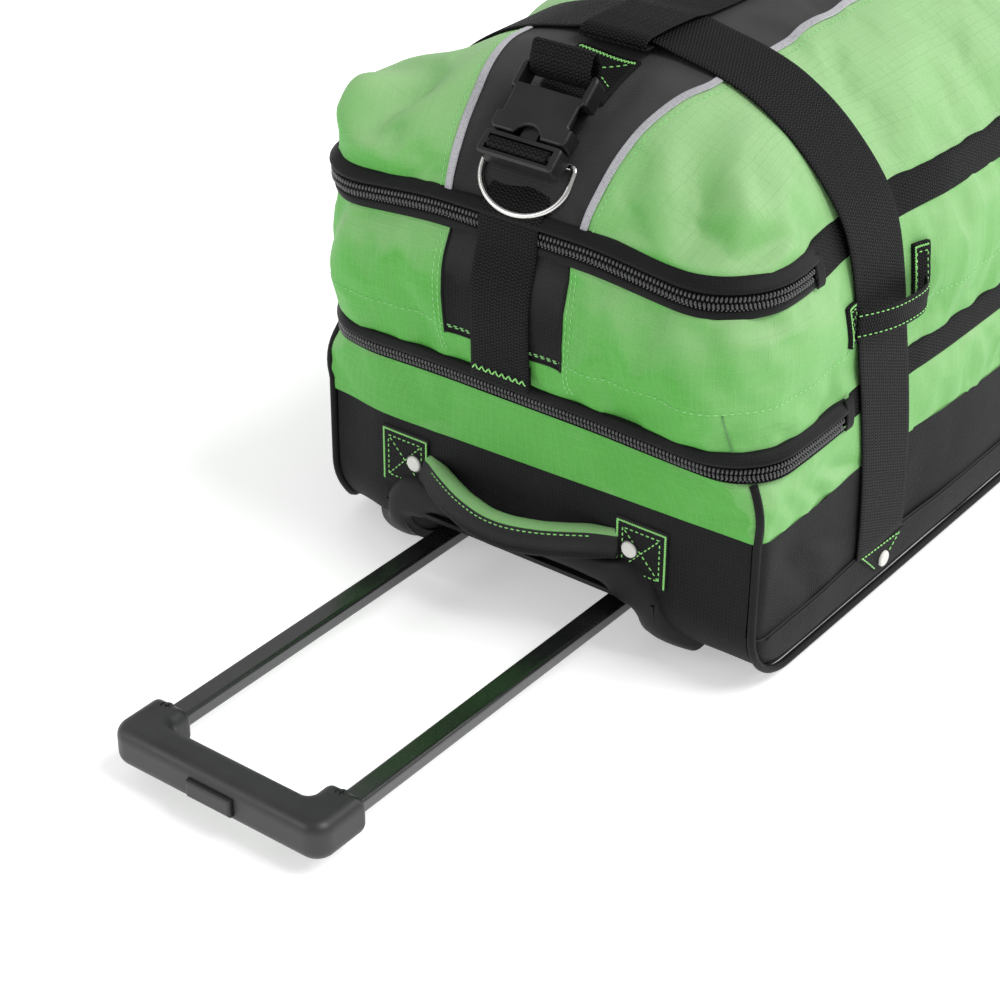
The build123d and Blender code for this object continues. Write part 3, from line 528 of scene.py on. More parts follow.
# The black polyester is painted lighter where it faces up: painted sheen.
black = woven("black_polyester", (0.0078, 0.0078, 0.0084), painted_sheen=0.9)
tape = woven("zip_tape", (0.0075, 0.0075, 0.008), pitch=0.8, roughness=0.6, depth=0.06)
binding = woven("black_binding", (0.0075, 0.0075, 0.008), pitch=0.9, roughness=0.55, depth=0.06)
web = webbing_material("black_webbing", (0.0062, 0.0062, 0.0066))
grey_piping = woven("reflective_piping", (0.34, 0.34, 0.36), pitch=0.7, roughness=0.4, sheen=0.1,
                    depth=0.03)
lime = thread_material("lime_thread", (0.30, 0.80, 0.20))
pale_green = thread_material("green_thread", (0.27, 0.68, 0.22))
coil_plastic = moulded("zip_coil_nylon", (0.026, 0.026, 0.028), 0.30, 2500.0, 0.01, gloss=0.8)
buckle_plastic = moulded("buckle_acetal", (0.0085, 0.0085, 0.009), 0.36, 2200.0, 0.015, gloss=0.4)
grip_plastic = moulded("grip_plastic", (0.020, 0.020, 0.021), 0.44, 1600.0, 0.04, gloss=0.5)
housing_plastic = moulded("housing_plastic", (0.0070, 0.0070, 0.0075), 0.5, 1500.0, 0.04, gloss=0.2)
button_plastic = moulded("button_plastic", (0.014, 0.014, 0.015), 0.38, 2000.0, 0.02)
slider_metal = moulded("painted_slider", (0.012, 0.012, 0.013), 0.28, 900.0, 0.01, coat=0.5)
tube_black = moulded("black_tube_enamel", (0.008, 0.008, 0.009), 0.22, 500.0, 0.006, coat=0.8)
tube_grey = moulded("grey_tube", (0.16, 0.16, 0.17), 0.4, 800.0, 0.01)
steel = metal("polished_steel", (0.66, 0.65, 0.63), 0.16)
screw_steel = metal("screw_steel", (0.10, 0.10, 0.11), 0.32)
rivet_enamel = moulded("rivet_enamel", (0.62, 0.61, 0.58), 0.34, 700.0, 0.01, coat=0.3)
rubber = moulded("tyre_rubber", (0.016, 0.016, 0.017), 0.62, 900.0, 0.06)
hub_plastic = moulded("hub_plastic", (0.09, 0.09, 0.095), 0.45, 1300.0, 0.03)
board = moulded("fibre_board", (0.10, 0.085, 0.065), 0.8, 400.0, 0.08)
foam = moulded("cup_foam", (0.035, 0.035, 0.038), 0.85, 1100.0, 0.25)
lining = moulded("divider_cloth", (0.020, 0.020, 0.022), 0.8, 1300.0, 0.12)

CAD_FINISH = {
    "base_board": board, "tube_cover_board": board, "divider": lining,
    "handle_housing": housing_plastic, "guide_tubes": tube_grey, "tube_bushings": housing_plastic,
    "tail_block": housing_plastic, "wheel_housings": housing_plastic, "axles": steel,
    "skid_runners": housing_plastic, "rivets": rivet_enamel, "buckle_plug": buckle_plastic,
    "buckle_socket": buckle_plastic, "d_ring": steel, "handle_tubes": tube_black,
    "grip_top_shell": grip_plastic, "grip_bottom_shell": grip_plastic, "grip_screws": screw_steel,
    "release_button": button_plastic, "lock_pin_left": steel, "lock_pin_right": steel,
    "wheel_hub_left": hub_plastic, "wheel_hub_right": hub_plastic, "tyre_left": rubber,
    "tyre_right": rubber,
    "lower_zip_slider": slider_metal, "lower_zip_pull": slider_metal,
    "upper_zip_slider": slider_metal, "upper_zip_pull": slider_metal,
}
for node_name, finish in CAD_FINISH.items():
    slots = nodes[node_name].material_slots
    for material_slot in slots:
        material_slot.material = finish
    if not slots:
        nodes[node_name].data.materials.append(finish)


# ---- the bag's skin --------------------------------------------------------------------------
# (height, half width, inset of the ends, plan corner radius), from the black seam to the crown
BODY = np.array([
    (BLACK_TOP - 5, HALF + 2.8, -1.0, 7.0),
    (BLACK_TOP + 8, HALF + 2.6, -2.0, 8.0),
    (122.0, HALF + 2.4, -3.5, 16.0),
    (134.0, HALF + 0.5, -5.0, 26.0),
    (ZIP_LOW + 4, HALF - 1.0, -6.5, 32.0),
    (152.0, HALF - 2.0, -10.0, 36.0),
    (172.0, HALF - 3.0, -17.5, 40.0),
    (192.0, HALF - 3.0, -20.0, 42.0),
    (212.0, HALF - 4.0, -18.0, 42.0),
    (228.0, HALF - 8.0, -12.0, 40.0),
    (DECK_TOP + 4, HALF - 10.0, -9.0, 39.0),
    (LID_BASE + 5, HALF - 12.0, -7.5, 39.0),
    (254.0, 135.5, -4.0, 39.0),
    (268.0, 126.0, 6.0, 42.0),
    (282.0, 110.0, 22.0, 46.0),
    (295.0, 87.0, 42.5, 46.0),
    (304.0, 63.0, 65.5, 36.0),
    (310.0, 34.0, 92.0, 22.0),
    (312.5, 10.0, 112.0, 8.0),
])
# Outer face of the compression strap: (height, half width)
STRAP = np.array([
    (16, 153.0), (60, 154.6), (100, 154.4), (132, 152.6), (146, 151.4), (165, 149.4),
    (187, 147.4), (204, 145.4), (226, 141.4), (240, 137.0), (250, 131.8), (260, 124.8),
    (270, 116.4), (280, 106.6), (290, 94.0), (299, 79.0), (306, 60.0), (311, 38.0), (315, 20.0),
])
WEB = 1.6


def strap_y(z):
    """Middle of the compression strap at a height: it leans to the end on its way up."""
    return np.interp(z, [45.0, 316.0], [127.5, 108.5])


def from_end(y):
    """Distance from the nearer end of the bag."""
    return np.minimum(y, LENGTH - y)


def drawn(points):
    """Skin points drawn in under the compression straps, with the zips sagging at the corners."""
    x, y, z = points[..., 0].copy(), points[..., 1], points[..., 2].copy()
    station = from_end(y)
    hold = 1 - ramp(np.abs(station - strap_y(z)), 24.0, 80.0)
    over = np.abs(x) - (curve(STRAP[:, 0], STRAP[:, 1], z) - WEB - 0.8)
    pull = np.where(over > 0, over * hold * ramp(np.abs(x), 20.0, 55.0), 0.0)
    x -= np.sign(x) * pull
    above = z - (curve(STRAP[::-1, 1], STRAP[::-1, 0], np.abs(x)) - WEB - 0.8)
    z -= np.maximum(above, 0) * hold * (1 - ramp(np.abs(x), 90.0, 112.0))
    corner = ramp(np.abs(x), 40.0, 122.0) * (1 - ramp(station, 60.0, 170.0))
    z -= 6.5 * corner * np.exp(-((z - 238.0) / 24.0)**2)
    z -= 2.0 * corner * np.exp(-((z - 142.0) / 16.0)**2)
    tilt = 3.0 + 4.0 * np.clip(x / HALF, -1, 1) * (1 - ramp(y, 60.0, 300.0))
    z += tilt * np.exp(-((z - BLACK_TOP) / 14.0)**2)
    return slack_corner(np.stack([x, y, z], axis=-1))


def slack_corner(points):
    """The near left corner of the bag has sunk in where nothing fills it, below the lid."""
    x, y, z = points[..., 0], points[..., 1], points[..., 2]
    reach = np.hypot(x + HALF, y - 2.0)
    sink = 12.5 * (1 - ramp(reach, 0.0, 62.0)) * (1 - ramp(z, 205.0, 244.0)) * ramp(z, -20.0, 25.0)
    return np.stack([x + sink * 0.80, y + sink * 0.60, z], axis=-1)


def strap_hold(points, reach=20.0):
    """1 under a compression strap, fading to 0 beside it."""
    away = np.abs(from_end(points[..., 1]) - strap_y(points[..., 2]))
    return (1 - ramp(away, 25.0, 25.0 + reach)) * ramp(np.abs(points[..., 0]), 20.0, 50.0)


HALF_FRONT, CORNER, HALF_SIDE = 18, 10, 54


def ring(half, inset, radius):
    """Plan outline from the middle of the handle end, round by +X, with outward normals."""
    flat = half - radius
    points = [(flat * t, inset) for t in np.linspace(0, 1, HALF_FRONT, endpoint=False)]
    normals = [(0, -1)] * HALF_FRONT
    for t in np.linspace(0, 1, CORNER, endpoint=False):
        angle = t * math.pi / 2
        points.append((flat + radius * math.sin(angle), inset + radius * (1 - math.cos(angle))))
        normals.append((math.sin(angle), -math.cos(angle)))
    low = inset + radius
    points += [(half, low + (LENGTH / 2 - low) * t) for t in np.linspace(0, 1, HALF_SIDE + 1)]
    normals += [(1, 0)] * (HALF_SIDE + 1)
    points, normals = np.array(points), np.array(normals, float)
    right = np.concatenate([points, points[-2::-1] * (1, -1) + (0, LENGTH)])
    facing = np.concatenate([normals, normals[-2::-1] * (1, -1)])
    return (np.concatenate([right, right[-2:0:-1] * (-1, 1)]),
            np.concatenate([facing, facing[-2:0:-1] * (-1, 1)]))


def body_rows(heights, grow=0.0):
    """Grid of skin points at the given heights, grown outwards; grow may differ by height."""
    rows = []
    for z, more in zip(heights, np.broadcast_to(grow, len(heights))):
        half, inset, radius = (float(curve(BODY[:, 0], BODY[:, k], z)) for k in (1, 2, 3))
        points, out = ring(half, inset, radius)
        points = drawn(np.column_stack([points, np.full(len(points), z)]))
        held = 1 - 0.9 * strap_hold(points) if more > 0 else np.ones(len(points))
        points[:, :2] += out * (more * held)[:, None]
        rows.append(points)
    return np.array(rows)


def heights_between(low, high, step):
    """Even heights, about a step apart."""
    return np.linspace(low, high, max(2, int(round((high - low) / step)) + 1))


def wander(points, scale, seed, stretch=(1, 1, 1)):
    """Smooth noise, about -1..1, for each point."""
    flat = np.asarray(points).reshape(-1, 3) * stretch / scale + (seed, seed * 0.7, 0)
    return np.array([noise.noise(Vector(p)) for p in flat]).reshape(np.asarray(points).shape[:-1])


def crease(points, tip, aim, length, width, depth):
    """Outward push of one fold that runs from tip along aim, widest in its middle."""
    aim = np.asarray(aim, float)
    aim = aim / np.linalg.norm(aim)
    away = points - np.asarray(tip, float)
    along = away @ aim
    across = np.linalg.norm(away - along[..., None] * aim, axis=-1)
    reach = ramp(along, -width * 0.5, length * 0.25) * (1 - ramp(along, length * 0.55, length))
    return depth * reach * np.exp(-(across / width)**2)


def mirrored_creases(folds, points, rows):
    """Folds with more added on both sides, given for +X as (tip, aim, length, width, depth)."""
    for side in (-1, 1):
        mirror = np.array((side, 1, 1))
        for tip, aim, length, width, depth in rows:
            folds = folds + crease(points, tip * mirror, aim * mirror, length, width, depth)
    return folds


def pushed(grid, amount):
    """Grid moved along its own normals."""
    along = np.gradient(grid, axis=1)
    along[:, 0] = grid[:, 1] - grid[:, -1]
    along[:, -1] = grid[:, 0] - grid[:, -2]
    normal = np.cross(along, np.gradient(grid, axis=0))
    normal /= np.maximum(np.linalg.norm(normal, axis=2), 1e-9)[..., None]
    amount = np.where(amount > 0, amount * (1 - strap_hold(grid)), amount)
    return grid + normal * amount[..., None]


def freedom(points):
    """How far the fabric may leave its start: 0 under webbing, 1 well away from it."""
    away = np.abs(from_end(points[..., 1]) - strap_y(points[..., 2]))
    return ramp(away, 26.0, 52.0) * ramp(np.abs(points[..., 0]), 23.0, 44.0)


def crumpled(obj, depth, scale, stretch, seed):
    """Sharp small wrinkles, in patches, raised along the mesh's own normals."""
    mesh = obj.data
    at, out = (np.empty(len(mesh.vertices) * 3) for _ in range(2))
    mesh.vertices.foreach_get("co", at)
    mesh.vertices.foreach_get("normal", out)
    points = from_row(at.reshape(-1, 3))
    ridge = (1 - np.abs(wander(points, scale, seed, stretch)))**7
    patch = ramp(wander(points, 46.0, seed + 5.0), -0.2, 0.3)
    height = depth * ridge * patch * freedom(points)
    mesh.vertices.foreach_set("co",
                              (at.reshape(-1, 3) + out.reshape(-1, 3) * height[:, None] * MM).ravel())
    mesh.update()
    return obj


def relax(obj, pins, pressure, growth, frames=18, cap=4.0, bending=1.0):
    """Cloth run on a sewn panel: its seams stay, the rest swells and creases."""
    start = np.array([v.co for v in obj.data.vertices])
    group = obj.vertex_groups.new(name="seams")
    for index, weight in enumerate(pins):
        if weight > 0:
            group.add([index], float(weight), "REPLACE")
    modifier = obj.modifiers.new("cloth", "CLOTH")
    cloth = modifier.settings
    cloth.vertex_group_mass = "seams"
    cloth.quality = 6
    cloth.mass = 0.25
    cloth.tension_stiffness = cloth.compression_stiffness = 30
    cloth.shear_stiffness = 12
    cloth.bending_stiffness = bending
    cloth.air_damping = 4
    cloth.use_pressure = True
    cloth.uniform_pressure_force = pressure
    cloth.shrink_min = -growth
    cloth.effector_weights.gravity = 0
    modifier.collision_settings.use_collision = False
    modifier.point_cache.frame_end = frames
    for number in range(1, frames + 1):
        scene.frame_set(number)
    evaluated = obj.evaluated_get(bpy.context.evaluated_depsgraph_get())
    end = np.array([v.co for v in evaluated.data.vertices])
    obj.modifiers.clear()
    scene.frame_set(1)
    move = end - start
    far = np.linalg.norm(move, axis=1)[:, None]
    move *= np.minimum(1.0, cap * MM / np.maximum(far, 1e-9)) * freedom(from_row(start))[:, None]
    obj.data.vertices.foreach_set("co", (start + move).astype(np.float32).ravel())
    obj.vertex_groups.clear()
    obj.data.update()
    return obj


def seam_pins(grid, rows_held=1):
    """Pin weights for a ring of fabric: its first and last rows, and what lies under the straps."""
    rows = np.zeros(grid.shape[:2])
    rows[:rows_held] = rows[-rows_held:] = 1
    away = np.abs(from_end(grid[..., 1]) - strap_y(grid[..., 2]))
    under = (away < 25) & (np.abs(grid[..., 0]) > 60)
    return np.maximum(rows, under).ravel()


class Surface:
    """Finished panels that seams, piping and stitches are laid on."""

    def __init__(self, *objects):
        points, faces = [], []
        for o in objects:
            base = len(points)
            points += [tuple(p) for p in from_row([v.co for v in o.data.vertices])]
            faces += [[base + i for i in f.vertices] for f in o.data.polygons]
        self.tree = BVHTree.FromPolygons(points, faces)

    def sew(self, points, inward, lift=0.0, start=60.0, keep=False):
        """Points moved along inward until they meet the panel, lifted off it, with normals."""
        placed, normals = [], []
        for p, d in zip(points, np.broadcast_to(np.asarray(inward, float), (len(points), 3))):
            d = Vector(d).normalized()
            hit, normal, _, _ = self.tree.ray_cast(Vector(p) - d * start, d)
            if hit is None and not keep:
                continue
            if hit is None:
                hit, normal = Vector(p), -d
            normal = -normal if normal.dot(d) > 0 else normal
            placed.append(hit + normal * lift)
            normals.append(normal)
        return np.array(placed), np.array(normals)


def cut_panel(obj, name, planes, inside, material):
    """Cuts a panel along upright planes; the faces inside become a new piece."""
    bm = bmesh.new()
    bm.from_mesh(obj.data)
    for point, normal, low, high in planes:
        near = [f for f in bm.faces if low <= from_row(f.calc_center_median())[0][1] <= high]
        geometry = near + list({e for f in near for e in f.edges})
        geometry += list({v for f in near for v in f.verts})
        spot = Vector(to_row(point)[0])
        bmesh.ops.bisect_plane(bm, geom=geometry, dist=1e-6, plane_co=spot, plane_no=Vector(normal))
    other = bm.copy()
    for mesh, keep in ((bm, False), (other, True)):
        gone = [f for f in mesh.faces if inside(from_row(f.calc_center_median())[0]) != keep]
        bmesh.ops.delete(mesh, geom=gone, context="FACES")
    bm.to_mesh(obj.data)
    data = bpy.data.meshes.new(name)
    other.to_mesh(data)
    data.materials.append(material)
    bm.free()
    other.free()
    made = bpy.data.objects.new(name, data)
    scene.collection.objects.link(made)
    return made


# ---- upper level wall ---------------------------------------------------------------------------
deck_grid = body_rows(heights_between(149.5, 230.5, 4.5))
height_in = (deck_grid[..., 2] - 150.0) / 80.0
hem = 1 - ramp(deck_grid[..., 2], 160.0, 178.0)
ripple = wander(deck_grid, 15.0, 3.1, (1, 1, 0.30)) * hem * 3.4
swell = np.sin(np.clip(height_in, 0, 1) * math.pi) * (wander(deck_grid, 55.0, 8.4) * 3.6)
fine = wander(deck_grid, 22.0, 5.0, (1, 1, 0.5)) * 1.5
deck_folds = mirrored_creases(ripple + swell + fine, deck_grid, [
    ((118, -14, 226), (0.30, 0.10, -1), 58, 9, -4.6),
    ((139, 8, 228), (0.05, 0.5, -1), 50, 8, -3.8),
    ((128, -8, 224), (0.2, 0.10, -1), 46, 7, 3.8),
    ((95, -18, 230), (-0.25, 0.0, -1), 50, 8, -3.2),
    ((66, -18, 228), (0.35, 0.0, -1), 54, 7, 2.6),
    ((143, 70, 158), (0, 0.5, 1), 46, 9, 2.6),
    ((143, 92, 176), (0, 0.9, 1), 40, 7, -2.4),
])
deck_grid = pushed(deck_grid, deck_folds * ramp(height_in, 0.0, 0.06) * ramp(1 - height_in, 0.0, 0.08))
deck_skin = sheet_grid("deck_green", deck_grid, green, closed=True)
relax(deck_skin, seam_pins(deck_grid), 2.0, 0.03)
crumpled(smoothed(deck_skin, 2), 1.0, 30.0, (1, 1, 0.5), 6.3)
DECK_PANEL = 37.5
DECK_SEAM = 172.0
deck_black = cut_panel(
    deck_skin, "deck_end_black", [((side * DECK_PANEL, 0, 0), (1, 0, 0), -60, 10) for side in (-1, 1)],
    lambda p: abs(p[0]) < DECK_PANEL and p[1] < 20 and p[2] > DECK_SEAM, black)

# ---- lid ------------------------------------------------------------------------------------------
CROWN = [303.0, 305.5, 307.5, 309.2, 310.6, 311.6, 312.2, 312.5]
lid_heights = np.concatenate([heights_between(246.5, 300.0, 3.8), CROWN])
lid_grid = body_rows(lid_heights)
lid_folds = wander(lid_grid, 70.0, 1.7) * 3.4 + wander(lid_grid, 26.0, 4.2, (1, 1, 0.6)) * 1.6
lid_folds = mirrored_creases(lid_folds, lid_grid, [
    ((118, -4, 250), (-0.55, 0.55, 0.62), 105, 10, -7.5),
    ((128, 6, 250), (-0.45, 0.62, 0.62), 88, 8, 5.8),
    ((132, 30, 250), (-0.62, 0.25, 0.70), 70, 8, -5.2),
    ((126, 60, 256), (-0.8, -0.1, 0.6), 64, 8, 4.2),
    ((104, -5, 247), (-0.2, 0.6, 0.75), 74, 7, -5.0),
    ((134, 16, 247), (-0.75, 0.5, 0.45), 66, 7, -4.4),
    ((96, 10, 266), (0.7, 0.5, 0.1), 60, 8, 3.0),
    ((88, -4, 252), (-0.05, 0.75, 0.66), 60, 9, -2.4),
    ((70, 4, 262), (0.10, 0.75, 0.66), 60, 10, 2.0),
])
full_at = (lid_grid - (-126.0, 12.0, 264.0)) / (42.0, 66.0, 22.0)
lid_folds += 13.0 * np.exp(-np.sum(full_at**2, axis=-1))
edge = ramp(lid_grid[..., 2], 244.0, 254.0) * ramp(313.5 - lid_grid[..., 2], 0.0, 8.0)
lid_grid = pushed(lid_grid, lid_folds * edge)


def lid_cloth_map(heights):
    """Where each lid point lies on the flat fabric: rows as long as the dome is down to them."""
    halves = curve(BODY[:, 0], BODY[:, 1], heights)
    insets = curve(BODY[:, 0], BODY[:, 2], heights)
    run = np.zeros((2, len(heights)))
    for k, reach in enumerate((halves, LENGTH / 2 - insets)):
        lengths = np.hypot(np.diff(reach), np.diff(heights))
        run[k] = reach[-1] + np.concatenate([np.cumsum(lengths[::-1])[::-1], [0]])
    rows = []
    for z, half, inset, wide, long in zip(heights, halves, insets, *run):
        plan, _ = ring(half, inset, float(curve(BODY[:, 0], BODY[:, 3], z)))
        looped = np.concatenate([plan, plan[:1]]) - (0, LENGTH / 2)
        rows.append(looped * (wide / half, long / (LENGTH / 2 - inset)) * MM)
    return np.array(rows)


lid_skin = sheet_grid("lid_green", lid_grid, green, closed=True, uv=lid_cloth_map(lid_heights))
relax(lid_skin, seam_pins(lid_grid), 2.2, 0.025)


def close_crown(obj, columns, rows):
    """Bridges the last row across the ridge, column to mirrored column."""
    bm = bmesh.new()
    bm.from_mesh(obj.data)
    bm.verts.ensure_lookup_table()
    layer = bm.loops.layers.uv.active
    base = (rows - 1) * columns
    half = columns // 2
    last = {}
    for v in bm.verts[base:base + columns]:
        last[v.index] = next(l[layer].uv.copy() for l in v.link_loops)
    for c in range(half):
        ring_of = [base + c, base + c + 1, base + (columns - c - 1) % columns,
                   base + (columns - c) % columns]
        corners = list(dict.fromkeys(ring_of))
        face = bm.faces.new([bm.verts[i] for i in corners])
        face.smooth = True
        for loop, i in zip(face.loops, corners):
            loop[layer].uv = last[i]
    bm.to_mesh(obj.data)
    bm.free()


close_crown(lid_skin, lid_grid.shape[1], lid_grid.shape[0])
crumpled(smoothed(lid_skin, 2), 1.1, 34.0, (1, 0.7, 1), 2.9)
SEAM_NARROW, SEAM_WIDE, SEAM_LONG = 41.5, 59.0, 76.0


def seam_x(y):
    """Half width of the black middle panel of the lid."""
    return np.interp(from_end(np.asarray(y, float)), [-5.0, SEAM_LONG], [SEAM_NARROW, SEAM_WIDE])


def lid_planes():
    """Upright planes that part the lid's black middle from its green sides."""
    planes = []
    lean = (SEAM_WIDE - SEAM_NARROW) / (SEAM_LONG + 5)
    for side in (-1, 1):
        planes.append(((side * SEAM_WIDE, 0, 0), (1, 0, 0), SEAM_LONG - 8, LENGTH - SEAM_LONG + 8))
        planes.append(((side * SEAM_NARROW, -5, 0), (1, -side * lean, 0), -40, SEAM_LONG + 8))
        planes.append(((side * SEAM_NARROW, LENGTH + 5, 0), (1, side * lean, 0), LENGTH - SEAM_LONG - 8,
                       LENGTH + 40))
    return planes


lid_black = cut_panel(lid_skin, "lid_black", lid_planes(), lambda p: abs(p[0]) < seam_x(p[1]), black)

# ---- lower level ------------------------------------------------------------------------------------
low_grid = body_rows(heights_between(BLACK_TOP - 1.0, ZIP_LOW - 2.0, 4.1))
low_in = (low_grid[..., 2] - BLACK_TOP) / (ZIP_LOW - BLACK_TOP)
low_folds = wander(low_grid, 40.0, 2.2) * 1.6 + wander(low_grid, 20.0, 9.2, (1, 1, 0.4)) * 0.8
low_folds += 1.0 * np.sin(np.clip(low_in, 0, 1) * math.pi)
for side in (-1, 1):
    for y_to, width, depth in ((24, 4, -5.5), (38, 5, 5.5), (54, 5, -7.5), (72, 6, 5.5), (92, 6, -6.5)):
        low_folds += crease(low_grid, (side * 150, 10, 136), (0, y_to, -34), math.hypot(y_to, 34) + 16,
                            width, depth)
low_folds = np.where(low_folds > 0, 0.45 * low_folds, low_folds)
low_grid = pushed(low_grid, low_folds * ramp(low_in, 0.0, 0.35) * ramp(1 - low_in, 0.0, 0.15))
lower_green = sheet_grid("lower_green", low_grid, green, closed=True)
relax(lower_green, seam_pins(low_grid), 1.4, 0.02, frames=14, cap=2.0)
crumpled(smoothed(lower_green, 2), 0.8, 26.0, (1, 1, 0.45), 8.8)

ARC = CORNER_R * math.pi / 2


def wrap_point(x, a, lift=0.0, tail=False):
    """Point on the end panel: a is the height, carried on down round the bottom corner."""
    x, a, lift = (v.astype(float) for v in np.broadcast_arrays(x, a, lift))
    bend = np.clip(BOTTOM + CORNER_R - a, 0, ARC)
    under = np.maximum(BOTTOM + CORNER_R - a - ARC, 0)
    turn = bend / CORNER_R
    y = CORNER_R * (1 - np.cos(turn)) + under - np.cos(turn) * lift
    z = np.where(bend > 0, BOTTOM + CORNER_R * (1 - np.sin(turn)), a) - np.sin(turn) * lift
    return np.stack([x, LENGTH - y if tail else y, z], axis=-1)


def front_top(x):
    """Height of the black panel's top edge across the handle end."""
    return BLACK_TOP + 3.0 + 4.0 * x / HALF


WRAP_HALF = HALF - 4.0
HOUSING = {"half": 79.0, "top": 43.0}


def make_bottom_wrap():
    """Black fabric from the handle end, under the bag, up to the tail."""
    xs = np.linspace(-WRAP_HALF, WRAP_HALF, 57)
    halves = []
    down = np.concatenate([np.linspace(0, 1, 13)[:-1] * 48, 48 + np.linspace(0, 1, 12)[:-1] * ARC,
                           48 + ARC + np.linspace(0, 1, 32) * (LENGTH / 2 - CORNER_R)])
    for tail in (False, True):
        top = front_top(xs) if not tail else np.full(len(xs), BLACK_TOP + 3.0)
        share = np.clip(1 - down / 48.0, 0, 1)[:, None]
        a = (95.0 - down)[:, None] + share * (top - 95.0)[None, :]
        puff = (1.6 * np.sin(np.clip((95 - a) / 100, 0, 1) * math.pi)
                * np.cos(xs / WRAP_HALF * math.pi / 2))
        puff += wander(
            np.stack(np.broadcast_arrays(xs[None, :], a, 0 * a), axis=-1), 45.0, 6.1 + tail) * 0.8
        puff *= 1 - np.exp(-((np.abs(xs)[None, :] - 80) / 24)**4 - ((a - 69) / 26)**4)
        puff += 0.3
        halves.append(slack_corner(wrap_point(xs[None, :] + 0 * a, a, puff, tail)))
    grid = np.concatenate([halves[0], halves[1][-2::-1]])
    made = sheet_grid("bottom_wrap", grid[:, ::-1], black)
    bm = bmesh.new()
    bm.from_mesh(made.data)
    gone = []
    for f in bm.faces:
        x, y, z = from_row(f.calc_center_median())[0]
        grip_hole = abs(x) < HOUSING["half"] and y < CORNER_R and z < HOUSING["top"]
        wheel_hole = abs(x) > 92 and y > LENGTH - 66 and z < 84
        if grip_hole or wheel_hole:
            gone.append(f)
    bmesh.ops.delete(bm, geom=gone, context="FACES")
    bm.to_mesh(made.data)
    bm.free()
    return smoothed(made, 1)


bottom_wrap = make_bottom_wrap()


def lower_half(z):
    return curve([9, 20, 45, 70, BLACK_TOP + 8],
                 [HALF - 1.5, HALF + 0.5, HALF + 2.5, HALF + 3.6, HALF + 3.4], z)


def side_skin(y, z, lift=0.0):
    """Half width of the black side at a point: rolled in at its outline, held by the strap."""
    station = from_end(y)
    inner_y = np.maximum(CORNER_R - station, 0)
    inner_z = np.maximum(BOTTOM + CORNER_R - z, 0)
    round_gap = CORNER_R - np.hypot(inner_y, inner_z)
    gap = np.where((inner_y > 0) & (inner_z > 0), round_gap, np.minimum(station + 1.0, z - BOTTOM))
    roll = 7.0 - np.clip(gap, 0, 7)
    x = lower_half(z) - 7.0 + np.sqrt(np.maximum(49.0 - roll**2, 0))
    hold = 1 - ramp(np.abs(station - strap_y(z)), 24.0, 70.0)
    over = x - (curve(STRAP[:, 0], STRAP[:, 1], z) - WEB - 0.8)
    return x - np.maximum(over, 0) * hold + lift


def side_base(y):
    """Height of the side outline at y: flat, with a round corner at each end."""
    inner = np.maximum(CORNER_R - from_end(y), 0)
    return BOTTOM + CORNER_R - np.sqrt(CORNER_R**2 - np.minimum(inner, CORNER_R)**2)


def side_stations():
    turn = np.linspace(0, math.pi / 2, 11)
    front = CORNER_R * (1 - np.cos(turn))
    middle = np.linspace(CORNER_R, LENGTH - CORNER_R, 92)[1:-1]
    return np.concatenate([front, middle, LENGTH - front[::-1]])


def side_panel(name, side, low, high, lift, material, rows=16, folds=True):
    """Black side fabric between two heights given for each station."""
    ys = side_stations()
    t = np.linspace(0, 1, rows)[:, None]
    low_z, high_z = low(ys), high(ys)
    z = low_z + (high_z - low_z) * t
    y = ys + 0 * z
    x = side_skin(y, z, lift)
    if folds:
        spots = np.stack([x, y, z], axis=-1)
        amount = wander(spots, 50.0, 7.7 + side) * 1.5
        amount = amount + wander(spots, 24.0, 3.3 + side, (1, 0.5, 1)) * 0.7
        for y_to, width, depth in ((50, 8, -2.6), (80, 9, 2.4), (104, 8, -2.2)):
            amount += crease(spots, (154, 12, 97), (0, y_to, -52), 95, width, depth)
        amount = np.where(amount > 0, amount * (1 - strap_hold(spots)), amount)
        x = x + amount * ramp(z, 12, 26) * ramp(from_end(y), 2, 16) * ramp(high_z - z, 0, 9)
    y = y - np.where(y < 1, 1.0, 0) + np.where(y > LENGTH - 1, 1.0, 0)
    grid = slack_corner(np.stack([side * x, y, z], axis=-1))
    made = sheet_grid(name, grid if side > 0 else grid[:, ::-1], material)
    return smoothed(made, 1)


def side_top(side):
    """Height of the black side's top edge, tilted near the handle end."""
    return lambda y: BLACK_TOP + 3.0 + 4.0 * side * (1 - ramp(y, 60.0, 300.0))


HEM_Z = 41.5
sides = [side_panel("lower_black_" + label, side, side_base, side_top(side), 0.0, black)
         for side, label in ((-1, "left"), (1, "right"))]
hems = [side_panel("hem_strip_" + label, side, side_base,
                   lambda y: np.maximum(np.full(len(y), HEM_Z), side_base(y) + 0.2),
                   1.1, black, rows=6, folds=False) for side, label in ((-1, "left"), (1, "right"))]
for hem_strip in hems:
    thicken(hem_strip, 0.9)

# ---- zips ---------------------------------------------------------------------------------------
UPPER_END = 52.0
LOWER_END = 78.0


def ring_part(grid, low=None, high=None):
    """Columns of a closed ring before or after a station, as one open run."""
    count = grid.shape[1]
    shifted = np.roll(grid, count // 2, axis=1)
    middle = shifted[0, :, 1]
    if high is not None:
        chosen = np.where(middle <= high)[0]
        return shifted[:, chosen]
    chosen = np.where(grid[0, :, 1] >= low)[0]
    return grid[:, chosen]


def band(name, profile, material, low=None, high=None):
    """Sewn band round the bag through (height, standing off) pairs."""
    heights, off = zip(*profile)
    grid = ring_part(body_rows(heights, off), low, high)
    return smoothed(sheet_grid(name, grid, material), 1)


UPPER_ZIP = 238.5
LOWER_ZIP = 141.5


